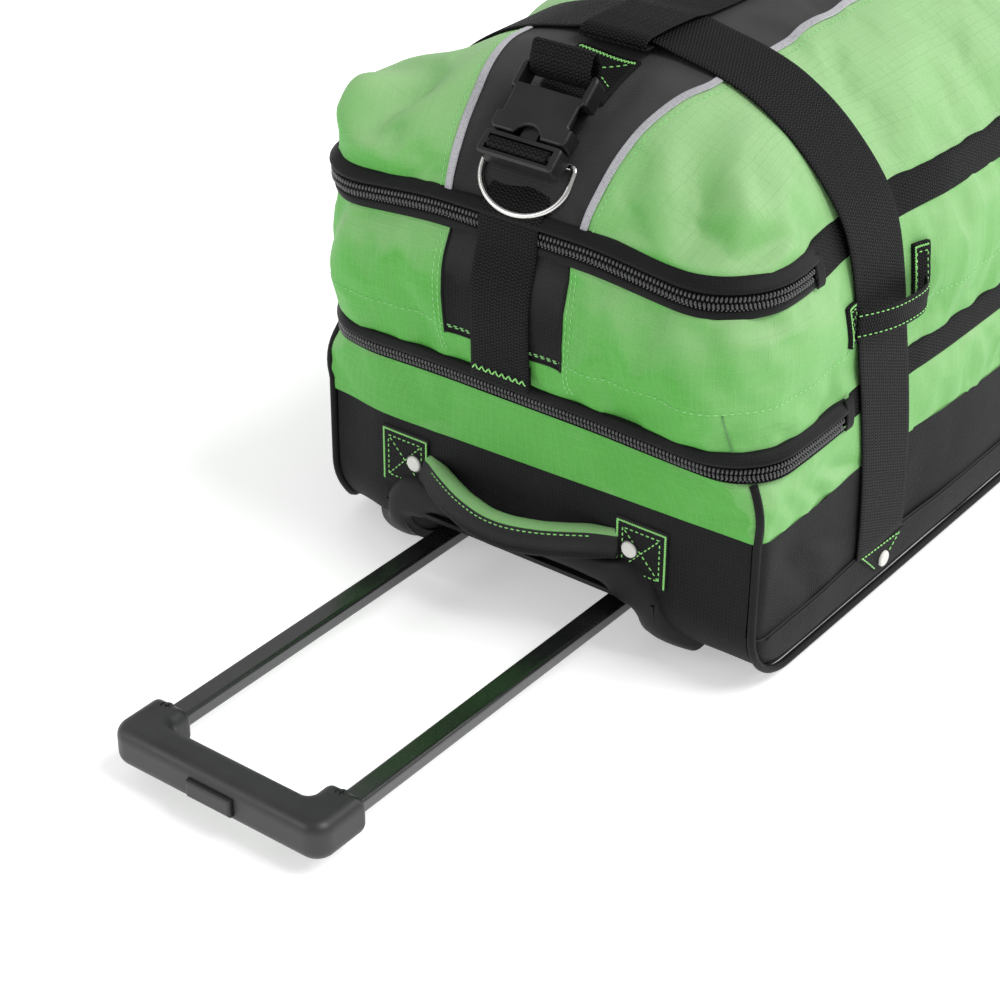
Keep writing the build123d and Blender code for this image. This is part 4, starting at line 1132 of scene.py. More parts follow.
def zip_band(name, centre, end, over, under):
    """Tape, rolled flap edges above and below the teeth, and the plain band beyond the zip."""
    tape_profile = [
        (centre - 5.5, -0.6), (centre - 4.5, 1.2), (centre + 4.5, 1.2), (centre + 5.5, -0.6)]
    made = [band(name + "_tape", tape_profile, tape, high=end + 4)]
    over_profile = [(centre + 4.4, 1.0), (centre + 3.9, 3.4), (centre + 4.6, 5.0), (centre + 6.0, 5.4),
                    (centre + over * 0.7, 4.2), (centre + over - 0.6, 2.2), (centre + over, 0.2),
                    (centre + over - 0.5, -2)]
    under_profile = [(centre - under + 0.5, -2), (centre - under, 0.4), (centre - under + 0.8, 2.0),
                     (centre - 5.2, 3.2), (centre - 4.3, 2.6), (centre - 4.2, 1.0)]
    made.append(band(name + "_flap", over_profile, binding, high=end + 4))
    made.append(band(name + "_welt", under_profile, binding, high=end + 4))
    plain = [
        (centre - under + 0.5, -2), (centre - under, 0.6), (centre - under + 1, 1.6), (centre, 2.0),
        (centre + over - 1, 1.6), (centre + over, 0.6), (centre + over - 0.5, -2)]
    made.append(band(name + "_plain", plain, web, low=end))
    return made


upper_parts = zip_band("upper_zip", UPPER_ZIP, UPPER_END, 10.5, 10.0)
lower_parts = zip_band("lower_zip", LOWER_ZIP, LOWER_END, 11.0, 5.5)


def zip_teeth(name, centre, end, stand):
    """Two rows of nylon coil, interlocked along the middle, and the stitch line beside each."""
    runs = {}
    for offset in (-1.65, 1.65, -4.0, 4.0):
        runs[offset] = ring_part(body_rows([centre + offset], stand - (1.1 if abs(offset) > 3 else 0)),
                                 high=end)[0]
    teeth = []
    for offset in (-1.65, 1.65):
        centres = spaced(runs[offset], 2.25)
        tangent, side, _ = frames_along(centres, (0, 0, 1))
        out = np.where(
            np.sum(side * np.sign(centres[:, :1]) * (1, 0, 0), axis=1)[:, None] < 0, -side, side)
        if offset > 0:
            centres = centres + tangent * 1.1
        lean = np.sign(offset) * 0.35
        for p, t, n in zip(centres, tangent, out):
            half = np.array((0, 0, 1.75)) + t * lean
            teeth.append(([p - half, p + half], [n, n]))
    made = stitches(name, teeth, coil_plastic, length=3.45, gap=9, radius=0.82, sink=0.0)
    lines = []
    for offset in (-4.0, 4.0):
        points = spaced(runs[offset], 3.0)
        _, side, _ = frames_along(points, (0, 0, 1))
        lines.append((points, np.where(side[:, 1:2] > 0, -side, side)))
    seam = stitches(name + "_stitch", lines, grey_thread, length=1.0, gap=1.15, radius=0.36)
    return made, seam


grey_thread = thread_material("grey_thread", (0.22, 0.22, 0.23))
upper_teeth, upper_seam = zip_teeth("upper_zip_teeth", UPPER_ZIP, UPPER_END, 3.0)
lower_teeth, lower_seam = zip_teeth("lower_zip_teeth", LOWER_ZIP, LOWER_END, 3.0)


def bend_with_flap(*objects):
    """Bakes each object's transform into its mesh."""
    for o in objects:
        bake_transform(o)


# ---- bodies of the fabric -----------------------------------------------------------------------
for part in (deck_skin, deck_black, lower_green, bottom_wrap, *sides, *hems, *lower_parts,
             upper_parts[0], upper_parts[2], upper_teeth, upper_seam, lower_teeth, lower_seam):
    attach(part, "root")
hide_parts("deck_end_panel", "deck_side_panels", "deck_tail_panel")
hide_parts("bottom_panel")
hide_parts("lower_side_panels")
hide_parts("green_end_panels", "green_side_panels")
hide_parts("lower_zip_band")
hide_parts("upper_zip_band")
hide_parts("lower_zip_coil")
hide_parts("upper_zip_coil")
bend_with_flap(lid_skin, lid_black, upper_parts[1])
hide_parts("flap_zip_band")
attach(upper_parts[3], "root")
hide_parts("lid_band")
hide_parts("flap_sides", "lid_sides")
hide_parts("flap_centre", "lid_centre")

# ---- compression straps -----------------------------------------------------------------------------
def strap_path(tail=False):
    """Outer face of the compression strap from one foot over the crown to the other."""
    knots = np.vstack([[(40.0, 153.8)], STRAP[1:], [(316.4, 0.0)]])
    profile = np.column_stack([knots[:, 1], knots[:, 0]])
    lengths = running(profile)
    at = np.linspace(0, lengths[-1], 70)
    xs, zs = curve(lengths, profile[:, 0], at), curve(lengths, profile[:, 1], at)
    half = np.column_stack([xs - WEB, strap_y(zs), zs - WEB * np.clip((zs - 240) / 76, 0, 1)])
    full = np.concatenate([half, half[-2::-1] * (-1, 1, 1)])
    return to_tail(full) if tail else full


def outward(path):
    """Normal of a strap that arches over the bag."""
    tangent = np.gradient(path, axis=0)
    flat = np.column_stack([tangent[:, 2], np.zeros(len(path)), -tangent[:, 0]])
    middle = np.array((0.0, 0.0, 150.0))
    flip = np.sign(np.sum(flat * ((path - middle) * (1, 0, 1)), axis=1))
    return flat * flip[:, None]


straps = []
for tail, label in ((False, "front"), (True, "rear")):
    route = strap_path(tail)
    straps.append(swept("compression_strap_" + label, route, flat_section(50.0, WEB), web,
                        up=outward(route)))
    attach(straps[-1], "root")
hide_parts("compression_straps")

# ---- seams and edges ----------------------------------------------------------------------------
deck_surface = Surface(deck_skin, deck_black)
lid_surface = Surface(lid_skin, lid_black)
wrap_surface = Surface(bottom_wrap)
side_surface = Surface(*sides, *hems)


def finer(path, times=2):
    """Path with more points, evenly between the given ones."""
    at = np.linspace(0, len(path) - 1, (len(path) - 1) * times + 1)
    return np.stack([np.interp(at, np.arange(len(path)), path[:, k]) for k in range(3)], axis=1)


def calmed(path, rounds=2):
    """Path with its small steps averaged out."""
    path = path.copy()
    for _ in range(rounds):
        path[1:-1] = (path[:-2] + 2 * path[1:-1] + path[2:]) / 4
    return path


def around(surface, z, lift=0.1, high=None):
    """Line round the bag at a height, laid on a panel."""
    near, far = (body_rows([z], out)[0] for out in (0.0, 40.0))
    if high is None:
        near, far = (np.concatenate([g, g[:1]]) for g in (near, far))
    else:
        near, far = (ring_part(g[None], high=high)[0] for g in (near, far))
    near, far = finer(near), finer(far)
    return surface.sew(near, near - far, lift)


deck_hem = stitches("deck_hem_stitch", [around(deck_surface, 176.0)], pale_green, 2.6, 1.4, 0.36)


def deck_line(xs, zs, lift):
    """Line laid on the deck's handle end, from points in front of it."""
    xs, zs = np.broadcast_arrays(xs, zs)
    return deck_surface.sew(np.column_stack([xs, np.full(len(xs), -14.0), zs]), (0, 1, 0), lift)


panel_lines = [deck_line(side * (DECK_PANEL + shift), np.linspace(DECK_SEAM - 14, 228, 24), 0.1)
               for side in (-1, 1) for shift in (2.4, 5.2)]
panel_lines.append(deck_line(np.linspace(-DECK_PANEL + 2, DECK_PANEL - 2, 24), DECK_SEAM + 3.0, 0.1))
deck_panel_seams = stitches("deck_panel_stitch", panel_lines, pale_green, 2.6, 1.4, 0.36)
edges = [deck_line(side * DECK_PANEL, np.linspace(DECK_SEAM - 1, 229, 26), 0.0) for side in (-1, 1)]
edges.append(deck_line(np.linspace(-DECK_PANEL, DECK_PANEL, 26), DECK_SEAM, 0.0))
deck_edge_paths = [
    swept("deck_seam_cord", hits, circle(0.8, 8), binding, up=out) for hits, out in edges]
deck_cord = merged("deck_panel_cord", deck_edge_paths)

LID_PROFILE = np.array([
    (-7.6, 248.0), (-3.0, 254.0), (8.0, 268.0), (23.0, 282.0), (43.0, 295.0), (66.0, 304.0),
    (92.0, 308.0), (130.0, 310.0), (200.0, 310.5), (275.0, 310.5), (350.0, 310.5)])


def lid_line(across, lift, spacing=3.0):
    """Line along the lid over its handle end and back to its tail, across(y) from the middle."""
    lengths = running(LID_PROFILE)
    at = np.linspace(0, lengths[-1], int(lengths[-1] / spacing))
    ys, zs = (curve(lengths, column, at) for column in LID_PROFILE.T)
    ty, tz = np.gradient(ys), np.gradient(zs)
    inward = np.column_stack([0 * ys, tz, -ty])
    ys = np.concatenate([ys, LENGTH - ys[-2::-1]])
    zs = np.concatenate([zs, zs[-2::-1]])
    inward = np.concatenate([inward, inward[-2::-1] * (1, -1, 1)])
    return lid_surface.sew(np.column_stack([across(ys), ys, zs]), inward, lift)


piping, piping_stitch = [], []
for side in (-1, 1):
    line, out = lid_line(lambda y: side * (seam_x(y) + 1.0), 0.1)
    piping.append(swept("piping", calmed(line), flat_section(4.6, 1.3), grey_piping, up=calmed(out, 3)))
    piping_stitch.append(lid_line(lambda y: side * (seam_x(y) + 6.6), 0.1))
lid_piping = merged("lid_piping", piping)
lid_stitch = stitches("lid_piping_stitch", piping_stitch, pale_green, 2.6, 1.4, 0.36)
bend_with_flap(lid_piping, lid_stitch)

seam_cord = []
low_surface = Surface(lower_green)
rise_heights = np.linspace(134.5, 106.0, 8)
for side in (-1, 1):
    down = np.concatenate([np.linspace(99, 47, 16)[:-1], 47 - np.linspace(0, ARC, 16)[:-1],
                           47 - ARC - np.linspace(0, LENGTH / 2 - CORNER_R, 40)])
    front = slack_corner(wrap_point(side * 150.3, down, 0.2))
    back = wrap_point(side * 150.3, down, 0.2, tail=True)
    rises = []
    for corner_y in (1.5, LENGTH - 1.5):
        near, far = body_rows(rise_heights), body_rows(rise_heights, 40.0)
        column = np.argmin(np.hypot(near[3, :, 0] - side * 150.0, near[3, :, 1] - corner_y))
        rises.append(
            low_surface.sew(near[:, column], near[:, column] - far[:, column], 0.5, keep=True)[0])
    route = np.concatenate([calmed(rises[0]), front, back[-2::-1], calmed(rises[1])[::-1]])
    seam_cord.append(swept("cord", route, circle(2.3, 10), binding))
corner_piping = merged("corner_piping", seam_cord)


hem_lines = []
for side in (-1, 1):
    ys = np.linspace(8, LENGTH - 8, 180)
    spots = np.column_stack([np.full(180, side * 152.0), ys, np.full(180, HEM_Z - 1.2)])
    hem_lines.append(side_surface.sew(spots, (-side, 0, 0), 0.0))
hem_cord = merged("hem_cord", [swept("cord", p, circle(1.0, 8), binding, up=n) for p, n in hem_lines])
for part in (deck_hem, deck_panel_seams, deck_cord, corner_piping, hem_cord):
    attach(part, "root")


class Patch:
    """Webbing or fabric sewn flat on a skin; at() and line() give places on its face."""

    def __init__(self, name, surface, grid, inward, depth, material):
        shape = grid.shape
        base, out = surface.sew(grid.reshape(-1, 3), inward, 0.0, keep=True)
        self.base, self.out = base.reshape(shape), out.reshape(shape)
        self.depth = depth
        rows, columns = shape[:2]
        top = self.base + self.out * depth
        across, up = steps(top, 1).mean(axis=0), steps(top, 0).mean(axis=1)
        turn = np.cross(top[0, 1] - top[0, 0], top[1, 0] - top[0, 0]) @ self.out[0, 0]
        faces, corners = [], []
        for r in range(rows - 1):
            for c in range(columns - 1):
                quad = [(r, c), (r, c + 1), (r + 1, c + 1), (r + 1, c)]
                quad = quad if turn > 0 else quad[::-1]
                faces.append([a * columns + b for a, b in quad])
                corners += [(across[b], up[a]) for a, b in quad]
        rim = [(0, c) for c in range(columns)] + [(r, columns - 1) for r in range(1, rows)]
        rim += [(rows - 1, c) for c in range(columns - 2, -1, -1)]
        rim += [(r, 0) for r in range(rows - 2, 0, -1)]
        low = rows * columns
        for i, (a, b) in enumerate(rim):
            c, d = rim[(i + 1) % len(rim)]
            quad = [a * columns + b, low + a * columns + b, low + c * columns + d, c * columns + d]
            marks = [(across[b], up[a]), (across[b] + depth * MM, up[a]),
                     (across[d] + depth * MM, up[c]), (across[d], up[c])]
            faces.append(quad if turn > 0 else quad[::-1])
            corners += marks if turn > 0 else marks[::-1]
        sunk = self.base - self.out * 0.6
        self.obj = piece(name, np.concatenate([top.reshape(-1, 3), sunk.reshape(-1, 3)]), faces,
                         material, corners)

    def at(self, s, t):
        rows, columns = self.base.shape[:2]
        y, x = np.clip(t, 0, 1) * (rows - 1), np.clip(s, 0, 1) * (columns - 1)
        r, c = min(int(y), rows - 2), min(int(x), columns - 2)
        y, x = y - r, x - c
        values = []
        for grid in (self.base + self.out * self.depth, self.out):
            low = grid[r, c] * (1 - x) + grid[r, c + 1] * x
            high = grid[r + 1, c] * (1 - x) + grid[r + 1, c + 1] * x
            values.append(low * (1 - y) + high * y)
        return values

    def line(self, a, b, count=10):
        spots = [self.at(a[0] + (b[0] - a[0]) * k, a[1] + (b[1] - a[1]) * k)
                 for k in np.linspace(0, 1, count)]
        return np.array([p for p, _ in spots]), np.array([n for _, n in spots])

    def zigzag(self, a, b, width, pitch):
        """Legs of a zigzag seam from a to b, each a short line."""
        line, out = self.line(a, b, 20)
        legs = spaced(line, pitch / 2)
        tangent = np.gradient(legs, axis=0)
        side = np.cross(np.array([out[min(len(out) - 1, int(k * len(out) / len(legs)))]
                                  for k in range(len(legs))]), tangent)
        side /= np.linalg.norm(side, axis=1)[:, None]
        legs = legs + side * np.where(np.arange(len(legs)) % 2, 0.5, -0.5)[:, None] * width
        return [(legs[k:k + 2], np.array([out[0], out[0]]))
                for k in range(len(legs) - 1)], math.hypot(width, pitch / 2)


def box_stitch(patch, low=0.14, high=0.86, cross=True):
    """Lines of a sewn box with its diagonals."""
    a, b, c, d = (low, low), (high, low), (high, high), (low, high)
    lines = [patch.line(a, b), patch.line(b, c), patch.line(c, d), patch.line(d, a)]
    if cross:
        lines += [patch.line(a, c), patch.line(b, d)]
    return lines


def flat_grid(corner, across, up, columns, rows):
    """Even grid of points from a corner along two directions."""
    s, t = np.linspace(0, 1, columns), np.linspace(0, 1, rows)
    return (np.asarray(corner, float) + s[None, :, None] * np.asarray(across, float)
            + t[:, None, None] * np.asarray(up, float))


# ---- carry handles --------------------------------------------------------------------------------
patches = []
patch_lines = []
patch_satin = []
for tail in (False, True):
    y, inward = (LENGTH + 0.4, (0, -1, 0)) if tail else (-0.4, (0, 1, 0))
    for side in (-1, 1):
        grid = flat_grid((side * 64.0, y, 52.0), (side * 33.0, 0, 0), (0, 0, 35.0), 12, 12)
        made = Patch("handle_patch", wrap_surface, grid, inward, 1.5, black)
        patches.append(made.obj)
        patch_lines += box_stitch(made)
        for s in (0.035, 0.965):
            legs, reach = made.zigzag((s, 0.03), (s, 0.97), 1.6, 1.1)
            patch_satin += legs
        patch_satin += made.zigzag((0.03, 0.965), (0.97, 0.965), 1.4, 1.3)[0]
handle_patches = merged("handle_patches_sewn", patches)
patch_stitch = stitches("handle_patch_stitch", patch_lines, lime, 2.3, 1.1, 0.38)
satin = stitches("handle_patch_satin", patch_satin, lime, 1.45, 9, 0.30)
washer_rings = []
for tail in (False, True):
    for side in (-1, 1):
        angles = np.linspace(0, 2 * math.pi, 28, endpoint=False)
        y = LENGTH + 2.2 if tail else -2.2
        loop = np.column_stack([side * 73.5 + 5.0 * np.cos(angles), np.full(28, y),
                                70.0 + 5.0 * np.sin(angles)])
        washer_rings.append(swept("washer", loop, circle(0.55, 8), slider_metal, up=(0, -1, 0),
                                  closed=True))
rivet_washers = merged("rivet_washers", washer_rings)
for part in (handle_patches, patch_stitch, satin, rivet_washers):
    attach(part, "root")
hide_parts("handle_patches")


def carry_sleeve(tail, name):
    """Padded sleeve of a carry handle, its green lining strip and its seam."""
    half = [(67, -2.2, 70.5), (61, -4.2, 70.2), (52, -8.0, 69.6), (40, -13.8, 68.2), (25, -19.5, 66.6),
            (10, -22.8, 65.6), (0, -23.4, 65.4)]
    path = calmed(rounded([(-x, y, z) for x, y, z in half] + [(x, y, z) for x, y, z in half[-2::-1]],
                          9.0, 4), 3)
    reach = np.abs(path[:, 0])
    grow = 1 - ramp(reach, 48, 66)
    angles = np.arange(28) * 2 * math.pi / 28
    tall, thick = 8.0 + 1.6 * grow, 2.2 + 4.2 * grow
    oval = [np.sign(w) * np.abs(w)**power for w, power in ((np.cos(angles), 0.8), (np.sin(angles), 0.9))]
    groove = 1 - 0.16 * np.exp(-((np.abs(np.cos(angles)) - 0.05) / 0.16)**2)
    section = np.stack([tall[:, None] * oval[0], thick[:, None] * oval[1] * groove], axis=2)
    creases = wander(np.column_stack([path[:, 0], path[:, 1] * 0, path[:, 0] * 0]), 9.0, 2.0 + tail)
    section *= (1 + 0.035 * creases)[:, None, None]
    up = np.column_stack([0 * reach, np.full(len(reach), -0.93), np.full(len(reach), 0.37)])
    if tail:
        path, up = to_tail(path)[::-1], up * (1, -1, 1)
    body = smoothed(swept(name, path, section, black, up=up), 1)
    arc = np.linspace(math.radians(122), math.radians(262), 18)
    outer = np.stack([tall[:, None] * np.cos(arc) * 1.03, thick[:, None] * np.sin(arc) * 1.10], axis=2)
    inner = np.stack([tall[:, None] * np.cos(arc) * 0.94, thick[:, None] * np.sin(arc) * 0.90],
                     axis=2)[:, ::-1]
    shell = np.concatenate([outer, inner], axis=1)
    shell *= (1 + 0.035 * creases)[:, None, None]
    lining_shell = smoothed(swept(name + "_lining", path, shell, green, up=up), 1)
    _, across, normal = frames_along(path, up)
    seam_angle = math.radians(112)
    run = path + across * (tall * math.cos(seam_angle))[:, None]
    run += normal * (thick * math.sin(seam_angle))[:, None]
    seam = stitches(name + "_stitch", [(run[6:-6], normal[6:-6])], lime, 2.3, 1.2, 0.34)
    return body, lining_shell, seam


for tail, node_name, body_name in ((False, "end_carry_grip", "end_carry_handle"),
                                   (True, "tail_carry_grip", "tail_carry_handle")):
    near, far = (LENGTH + 3.0, LENGTH + 13.0) if tail else (-3.0, -13.0)
    made = carry_sleeve(tail, body_name + "_sleeve")
    for part in made:
        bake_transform(part)
    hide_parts(node_name)

# ---- tabs over the zips' ends and the deck's corner seam ------------------------------------------
tabs = []
for centre, end, low, high, label in ((UPPER_ZIP, UPPER_END, 230.0, 246.0, "upper"),
                                      (LOWER_ZIP, LOWER_END, 136.0, 152.5, "lower")):
    for side in (-1, 1):
        zs = np.linspace(low, high, 8)
        column = []
        for z in zs:
            row = ring_part(body_rows([z], 2.6), high=end + 20)[0]
            row = row[np.sign(row[:, 0]) == side]
            row = row[np.argsort(row[:, 1])]
            column.append([np.interp(end + (2.5 if side > 0 else 13.0), row[:, 1], row[:, k])
                           for k in range(3)])
        arch = np.array(column)
        arch[:, 0] += side * 1.3 * np.sin(np.linspace(0, math.pi, 8))**0.5
        tabs.append(swept("zip_tab", arch, flat_section(7.5, 1.3), tape, up=(side, 0, 0)))
zip_tabs = merged("zip_end_tabs", tabs)
corner_seams = []
# The deck's corner seam is drawn as a thin darker green cord: painted shade in the seam's groove.
seam_groove_shade = thread_material("painted_seam_groove_shade", (0.07, 0.26, 0.05))
for side in (-1, 1):
    zs = np.linspace(151.5, 175.5, 12)
    near, far = body_rows(zs), body_rows(zs, 40.0)
    column = np.argmin(np.hypot(near[6, :, 0] - side * 134.0, near[6, :, 1] + 6.0))
    hits, out = deck_surface.sew(near[:, column], near[:, column] - far[:, column], 0.0)
    corner_seams.append(swept("seam", calmed(hits), circle(0.6, 8), seam_groove_shade, up=out))
deck_corner_seams = merged("deck_corner_seams", corner_seams)
for part in (zip_tabs, deck_corner_seams):
    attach(part, "root")

# ---- webbing over the handle end ------------------------------------------------------------------
END_STRAP = np.array([(153.0, -20.2), (160.0, -20.5), (172.0, -20.8), (192.0, -21.6), (212.0, -19.6),
                      (222.0, -16.6), (230.0, -14.8),
                      (238.0, -14.4), (246.0, -12.2), (254.0, -5.6), (262.0, 2.6), (270.0, 11.2)])


def end_strap_path(low=153.0, high=270.0, count=46):
    """Line of the end strap down the handle end."""
    zs = np.linspace(low, high, count)
    return np.column_stack([0 * zs, curve(END_STRAP[:, 0], END_STRAP[:, 1], zs), zs])


def away_from_bag(path):
    """Outward direction of a line down the handle end."""
    tangent = np.gradient(path, axis=0)
    return np.column_stack([0 * path[:, 0], -tangent[:, 2], tangent[:, 1]])


strap_line = end_strap_path()
end_strap = swept("end_strap", strap_line, flat_section(38.0, 1.8, -1.8), web,
                  up=away_from_bag(strap_line))
fold_line = end_strap_path(153.4, 167.0, 8)
end_fold = swept("end_strap_fold", fold_line, flat_section(37.6, 1.7, -3.6), web,
                 up=away_from_bag(fold_line))
tuck_line = [(-17.5 + 2.2 * k, END_STRAP[1, 1] - 0.25, 158.6 + (1.5 if k % 2 else -1.5))
             for k in range(17)]
tuck_legs = [(np.array(tuck_line[k:k + 2]), np.array([(0, -1, 0)] * 2)) for k in range(16)]
tuck_stitch = stitches("end_strap_zigzag", tuck_legs, lime, 3.5, 9, 0.42)
for part in (end_strap, end_fold, tuck_stitch):
    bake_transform(part)
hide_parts("end_strap_lower", "end_strap_upper")

SLOPE = math.radians(41.6)
BUCKLE_U, BUCKLE_N, RING_U, RING_N = 175.0, 202.0, 186.0, 198.7


def slope_point(x, u, n):
    """Place on the sloping front of the lid: u up the slope, n off it."""
    return (x, u * math.cos(SLOPE) - n * math.sin(SLOPE), u * math.sin(SLOPE) + n * math.cos(SLOPE))


def slope_strip(name, path, width, thickness, material):
    """Webbing through (u, n) points on the slope, its face to the left of the way it runs."""
    flat = rounded([(0, u, n) for u, n in path], 2.2, 5)
    centre = np.array([slope_point(0, u, n) for _, u, n in flat])
    tangent = np.gradient(centre, axis=0)
    up = np.column_stack([0 * centre[:, 0], -tangent[:, 2], tangent[:, 1]])
    return swept(name, centre, flat_section(width, thickness, -thickness / 2), material, up=up)


plug_path = [(BUCKLE_U + a, BUCKLE_N + b) for a, b in (
    (4.0, -5.0), (4.2, 1.0), (4.4, 11.2), (7.0, 12.4), (9.6, 11.2), (9.8, 1.0), (9.8, -5.0))]
plug_roll = slope_strip("plug_webbing", plug_path, 37.0, 1.5, web)
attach(plug_roll, "lid_flap")
angles = np.linspace(0, 2 * math.pi, 16, endpoint=False)
keeper_loop = np.array([slope_point(0, RING_U + 2.45 * math.cos(a), RING_N + 2.45 * math.sin(a))
                        for a in angles])
centre = np.array(slope_point(0, RING_U, RING_N))
ring_fold = swept("ring_keeper_fold", keeper_loop, flat_section(20.0, 0.55, -0.25), web,
                  up=keeper_loop - centre, closed=True)
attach(ring_fold, "lid_flap")
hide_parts("ring_keeper")

bar = slope_point(0, BUCKLE_U + 15 + 41 - 1.4, BUCKLE_N + 5.4)
LOOP_Y = bar[1]
loop_knots = [(0, LOOP_Y - 4.4, bar[2] + 1), (0, LOOP_Y - 4.7, bar[2] + 8), (0, LOOP_Y - 3.4, 317.5),
              (0, LOOP_Y - 2.2, 322.4),
              (0, LOOP_Y + 1.6, 322.8), (0, LOOP_Y + 3.8, 317.5), (0, LOOP_Y + 4.7, bar[2] + 8),
              (0, LOOP_Y + 4.4, bar[2] + 1),
              (0, LOOP_Y, bar[2] - 4.4), (0, LOOP_Y - 4.4, bar[2] + 1)]
loop_path = rounded(loop_knots, 3.0, 5)[:-1]
loop_middle = np.column_stack([0 * loop_path[:, 0], np.full(len(loop_path), LOOP_Y),
                               np.clip(loop_path[:, 2], bar[2], 318)])
loop_out = loop_path - loop_middle
socket_webbing = swept("socket_webbing", loop_path, flat_section(38.0, 1.5, -0.75), web, up=loop_out,
                       closed=True)
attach(socket_webbing, "buckle_socket")
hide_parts("socket_loop")

base_grid = flat_grid((-19.0, 38.0, 300.0), (38.0, 0, 0), (0, 35.0, 10.0), 14, 14)
loop_base = Patch("loop_base", lid_surface, base_grid, (0, 0.25, -1), 1.7, web)
base_lines = [loop_base.line((0.10, 0.34), (0.90, 0.88)), loop_base.line((0.90, 0.34), (0.10, 0.88))]
base_zig = loop_base.zigzag((0.04, 0.93), (0.96, 0.93), 2.4,
                            2.2)[0] + loop_base.zigzag((0.95, 0.06), (0.95, 0.9), 2.0, 2.0)[0]
base_zig += loop_base.zigzag((0.05, 0.06), (0.05, 0.9), 2.0, 2.0)[0]
base_stitch = stitches("loop_base_stitch", base_lines, lime, 2.4, 1.2, 0.4)
base_zigzag = stitches("loop_base_zigzag", base_zig, lime, 2.3, 9, 0.36)
bend_with_flap(loop_base.obj, base_stitch, base_zigzag)
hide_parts("strap_end")


def long_strap_path():
    """Line of the long webbing over the lid, from the handle end to the tail."""
    front = [(74.5, 313.6), (76.0, 317.6), (80.0, 318.9), (98.0, 319.3), (122.0, 318.6), (134.0, 316.4),
             (160.0, 315.0), (230.0, 314.4), (350.0, 314.2)]
    flat = rounded([(0, y, z) for y, z in front], 3.0, 4)
    back = to_tail(flat[-2::-1])
    return np.concatenate([flat, back])


long_line = long_strap_path()
long_up = np.column_stack([0 * long_line[:, 0], -np.gradient(long_line[:, 2]),
                           np.gradient(long_line[:, 1])])
long_webbing = swept("long_webbing", long_line, flat_section(42.0, 1.8, -1.8), web, up=long_up)
long_fold = np.array([(0, 74.6, 313.4), (0, 76.4, 311.8), (0, 84.0, 311.6), (0, 92.0, 311.8)])
long_tuck = swept("long_webbing_fold", rounded(long_fold, 2.0, 4), flat_section(41.6, 1.8, -0.9), web,
                  up=(0, 0, 1))
for part in (long_webbing, long_tuck):
    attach(part, "root")
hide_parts("long_strap")

# ---- keepers and strap feet -----------------------------------------------------------------------
keeper_parts, keeper_lines, keeper_satin, foot_parts, foot_lines = [], [], [], [], []
for tail in (False, True):
    flip = to_tail if tail else np.asarray
    for side in (-1, 1):
        face = (-side, 0, 0)
        low = Patch("keeper_end", deck_surface,
                    flip(flat_grid((side * 145.0, 80.0, 180.0), (0, 11.0, 0), (0, 0, 21.0), 6, 8)),
                    face, 2.6, web)
        high = Patch("keeper_end", deck_surface,
                     flip(flat_grid((side * 145.0, 151.0, 176.0), (0, 11.0, 0), (0, 0, 35.0), 6, 12)),
                     face, 2.6, web)
        keeper_parts += [low.obj, high.obj]
        for end in (low, high):
            keeper_lines += box_stitch(end, 0.16, 0.86, cross=end is low)
            keeper_satin += end.zigzag((0.08, 0.04), (0.08, 0.96), 1.5, 1.6)[0]
            keeper_satin += end.zigzag((0.06, 0.95), (0.94, 0.95), 1.5, 1.6)[0]
        hold_low, hold_high = low.at(0.5, 0.50)[0], high.at(0.5, 0.26)[0]
        reach = [
            (1.2, 0.0), (5.0, 0.14), (8.6, 0.34), (9.4, 0.52), (9.0, 0.74), (6.5, 0.90), (1.2, 1.0)]
        path = [hold_low * (1 - t) + hold_high * t + (side * off, 0, 0) for off, t in reach]
        route = spaced(calmed(rounded(path, 6.0, 5), 2), 2.5)
        keeper_parts.append(swept("keeper_band", route, flat_section(15.5, 1.7), web,
                                  up=(side, 0, 0.05)))
        _, across, out = frames_along(route, (side, 0, 0.05))
        for edge_at in (-5.6, 5.6):
            keeper_lines.append((route + across * edge_at + out * 1.75, out))
        a, b, c = (np.array(p) for p in (
            (side * 152.0, 104.0, 41.0), (side * 152.0, 154.5, 38.0), (side * 152.0, 130.0, 19.5)))
        s, t = np.linspace(0, 1, 10)[None, :, None], np.linspace(0, 0.985, 8)[:, None, None]
        foot = Patch("strap_foot", side_surface, flip((a * (1 - s) + b * s) * (1 - t) + c * t), face,
                     0.9, web)
        foot_parts.append(foot.obj)
        foot_lines += [foot.line((0.04, 0.08), (0.96, 0.08)), foot.line((0.06, 0.06), (0.10, 0.86)),
                       foot.line((0.94, 0.06), (0.90, 0.86))]
keepers = merged("strap_keeper_loops", keeper_parts)
keeper_stitch = stitches("strap_keeper_stitch", keeper_lines, lime, 2.2, 1.5, 0.34)
keeper_zigzag = stitches("strap_keeper_zigzag", keeper_satin, lime, 1.6, 9, 0.30)
feet = merged("strap_feet", foot_parts)
feet_stitch = stitches("strap_feet_stitch", foot_lines, lime, 2.4, 1.0, 0.42)
for part in (keepers, keeper_stitch, keeper_zigzag, feet, feet_stitch):
    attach(part, "root")
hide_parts("strap_keepers")

# ---- handle housing rim -----------------------------------------------------------------------------
RIM_OUT = [(0, 60.5), (50, 60.5), (62, 61.5), (72, 63), (82, 59.5), (89, 52), (93, 44), (94.5, 36),
           (98, 28), (105, 20), (113, 12)]
RIM_IN = [(0, 44), (50, 44), (58, 43), (63, 39.5), (67, 36.8), (73, 36.2), (77, 35), (79.5, 30),
          (80.5, 22), (81.5, 10), (82, -2)]


def along_edge(points, count):
    """Half outline from the middle, smoothed and mirrored to the other side."""
    points = np.array(points, float)
    lengths = running(points)
    at = np.linspace(0, lengths[-1], count)
    half = np.column_stack([curve(lengths, points[:, 0], at), curve(lengths, points[:, 1], at)])
    return np.concatenate([half[:0:-1] * (-1, 1), half])


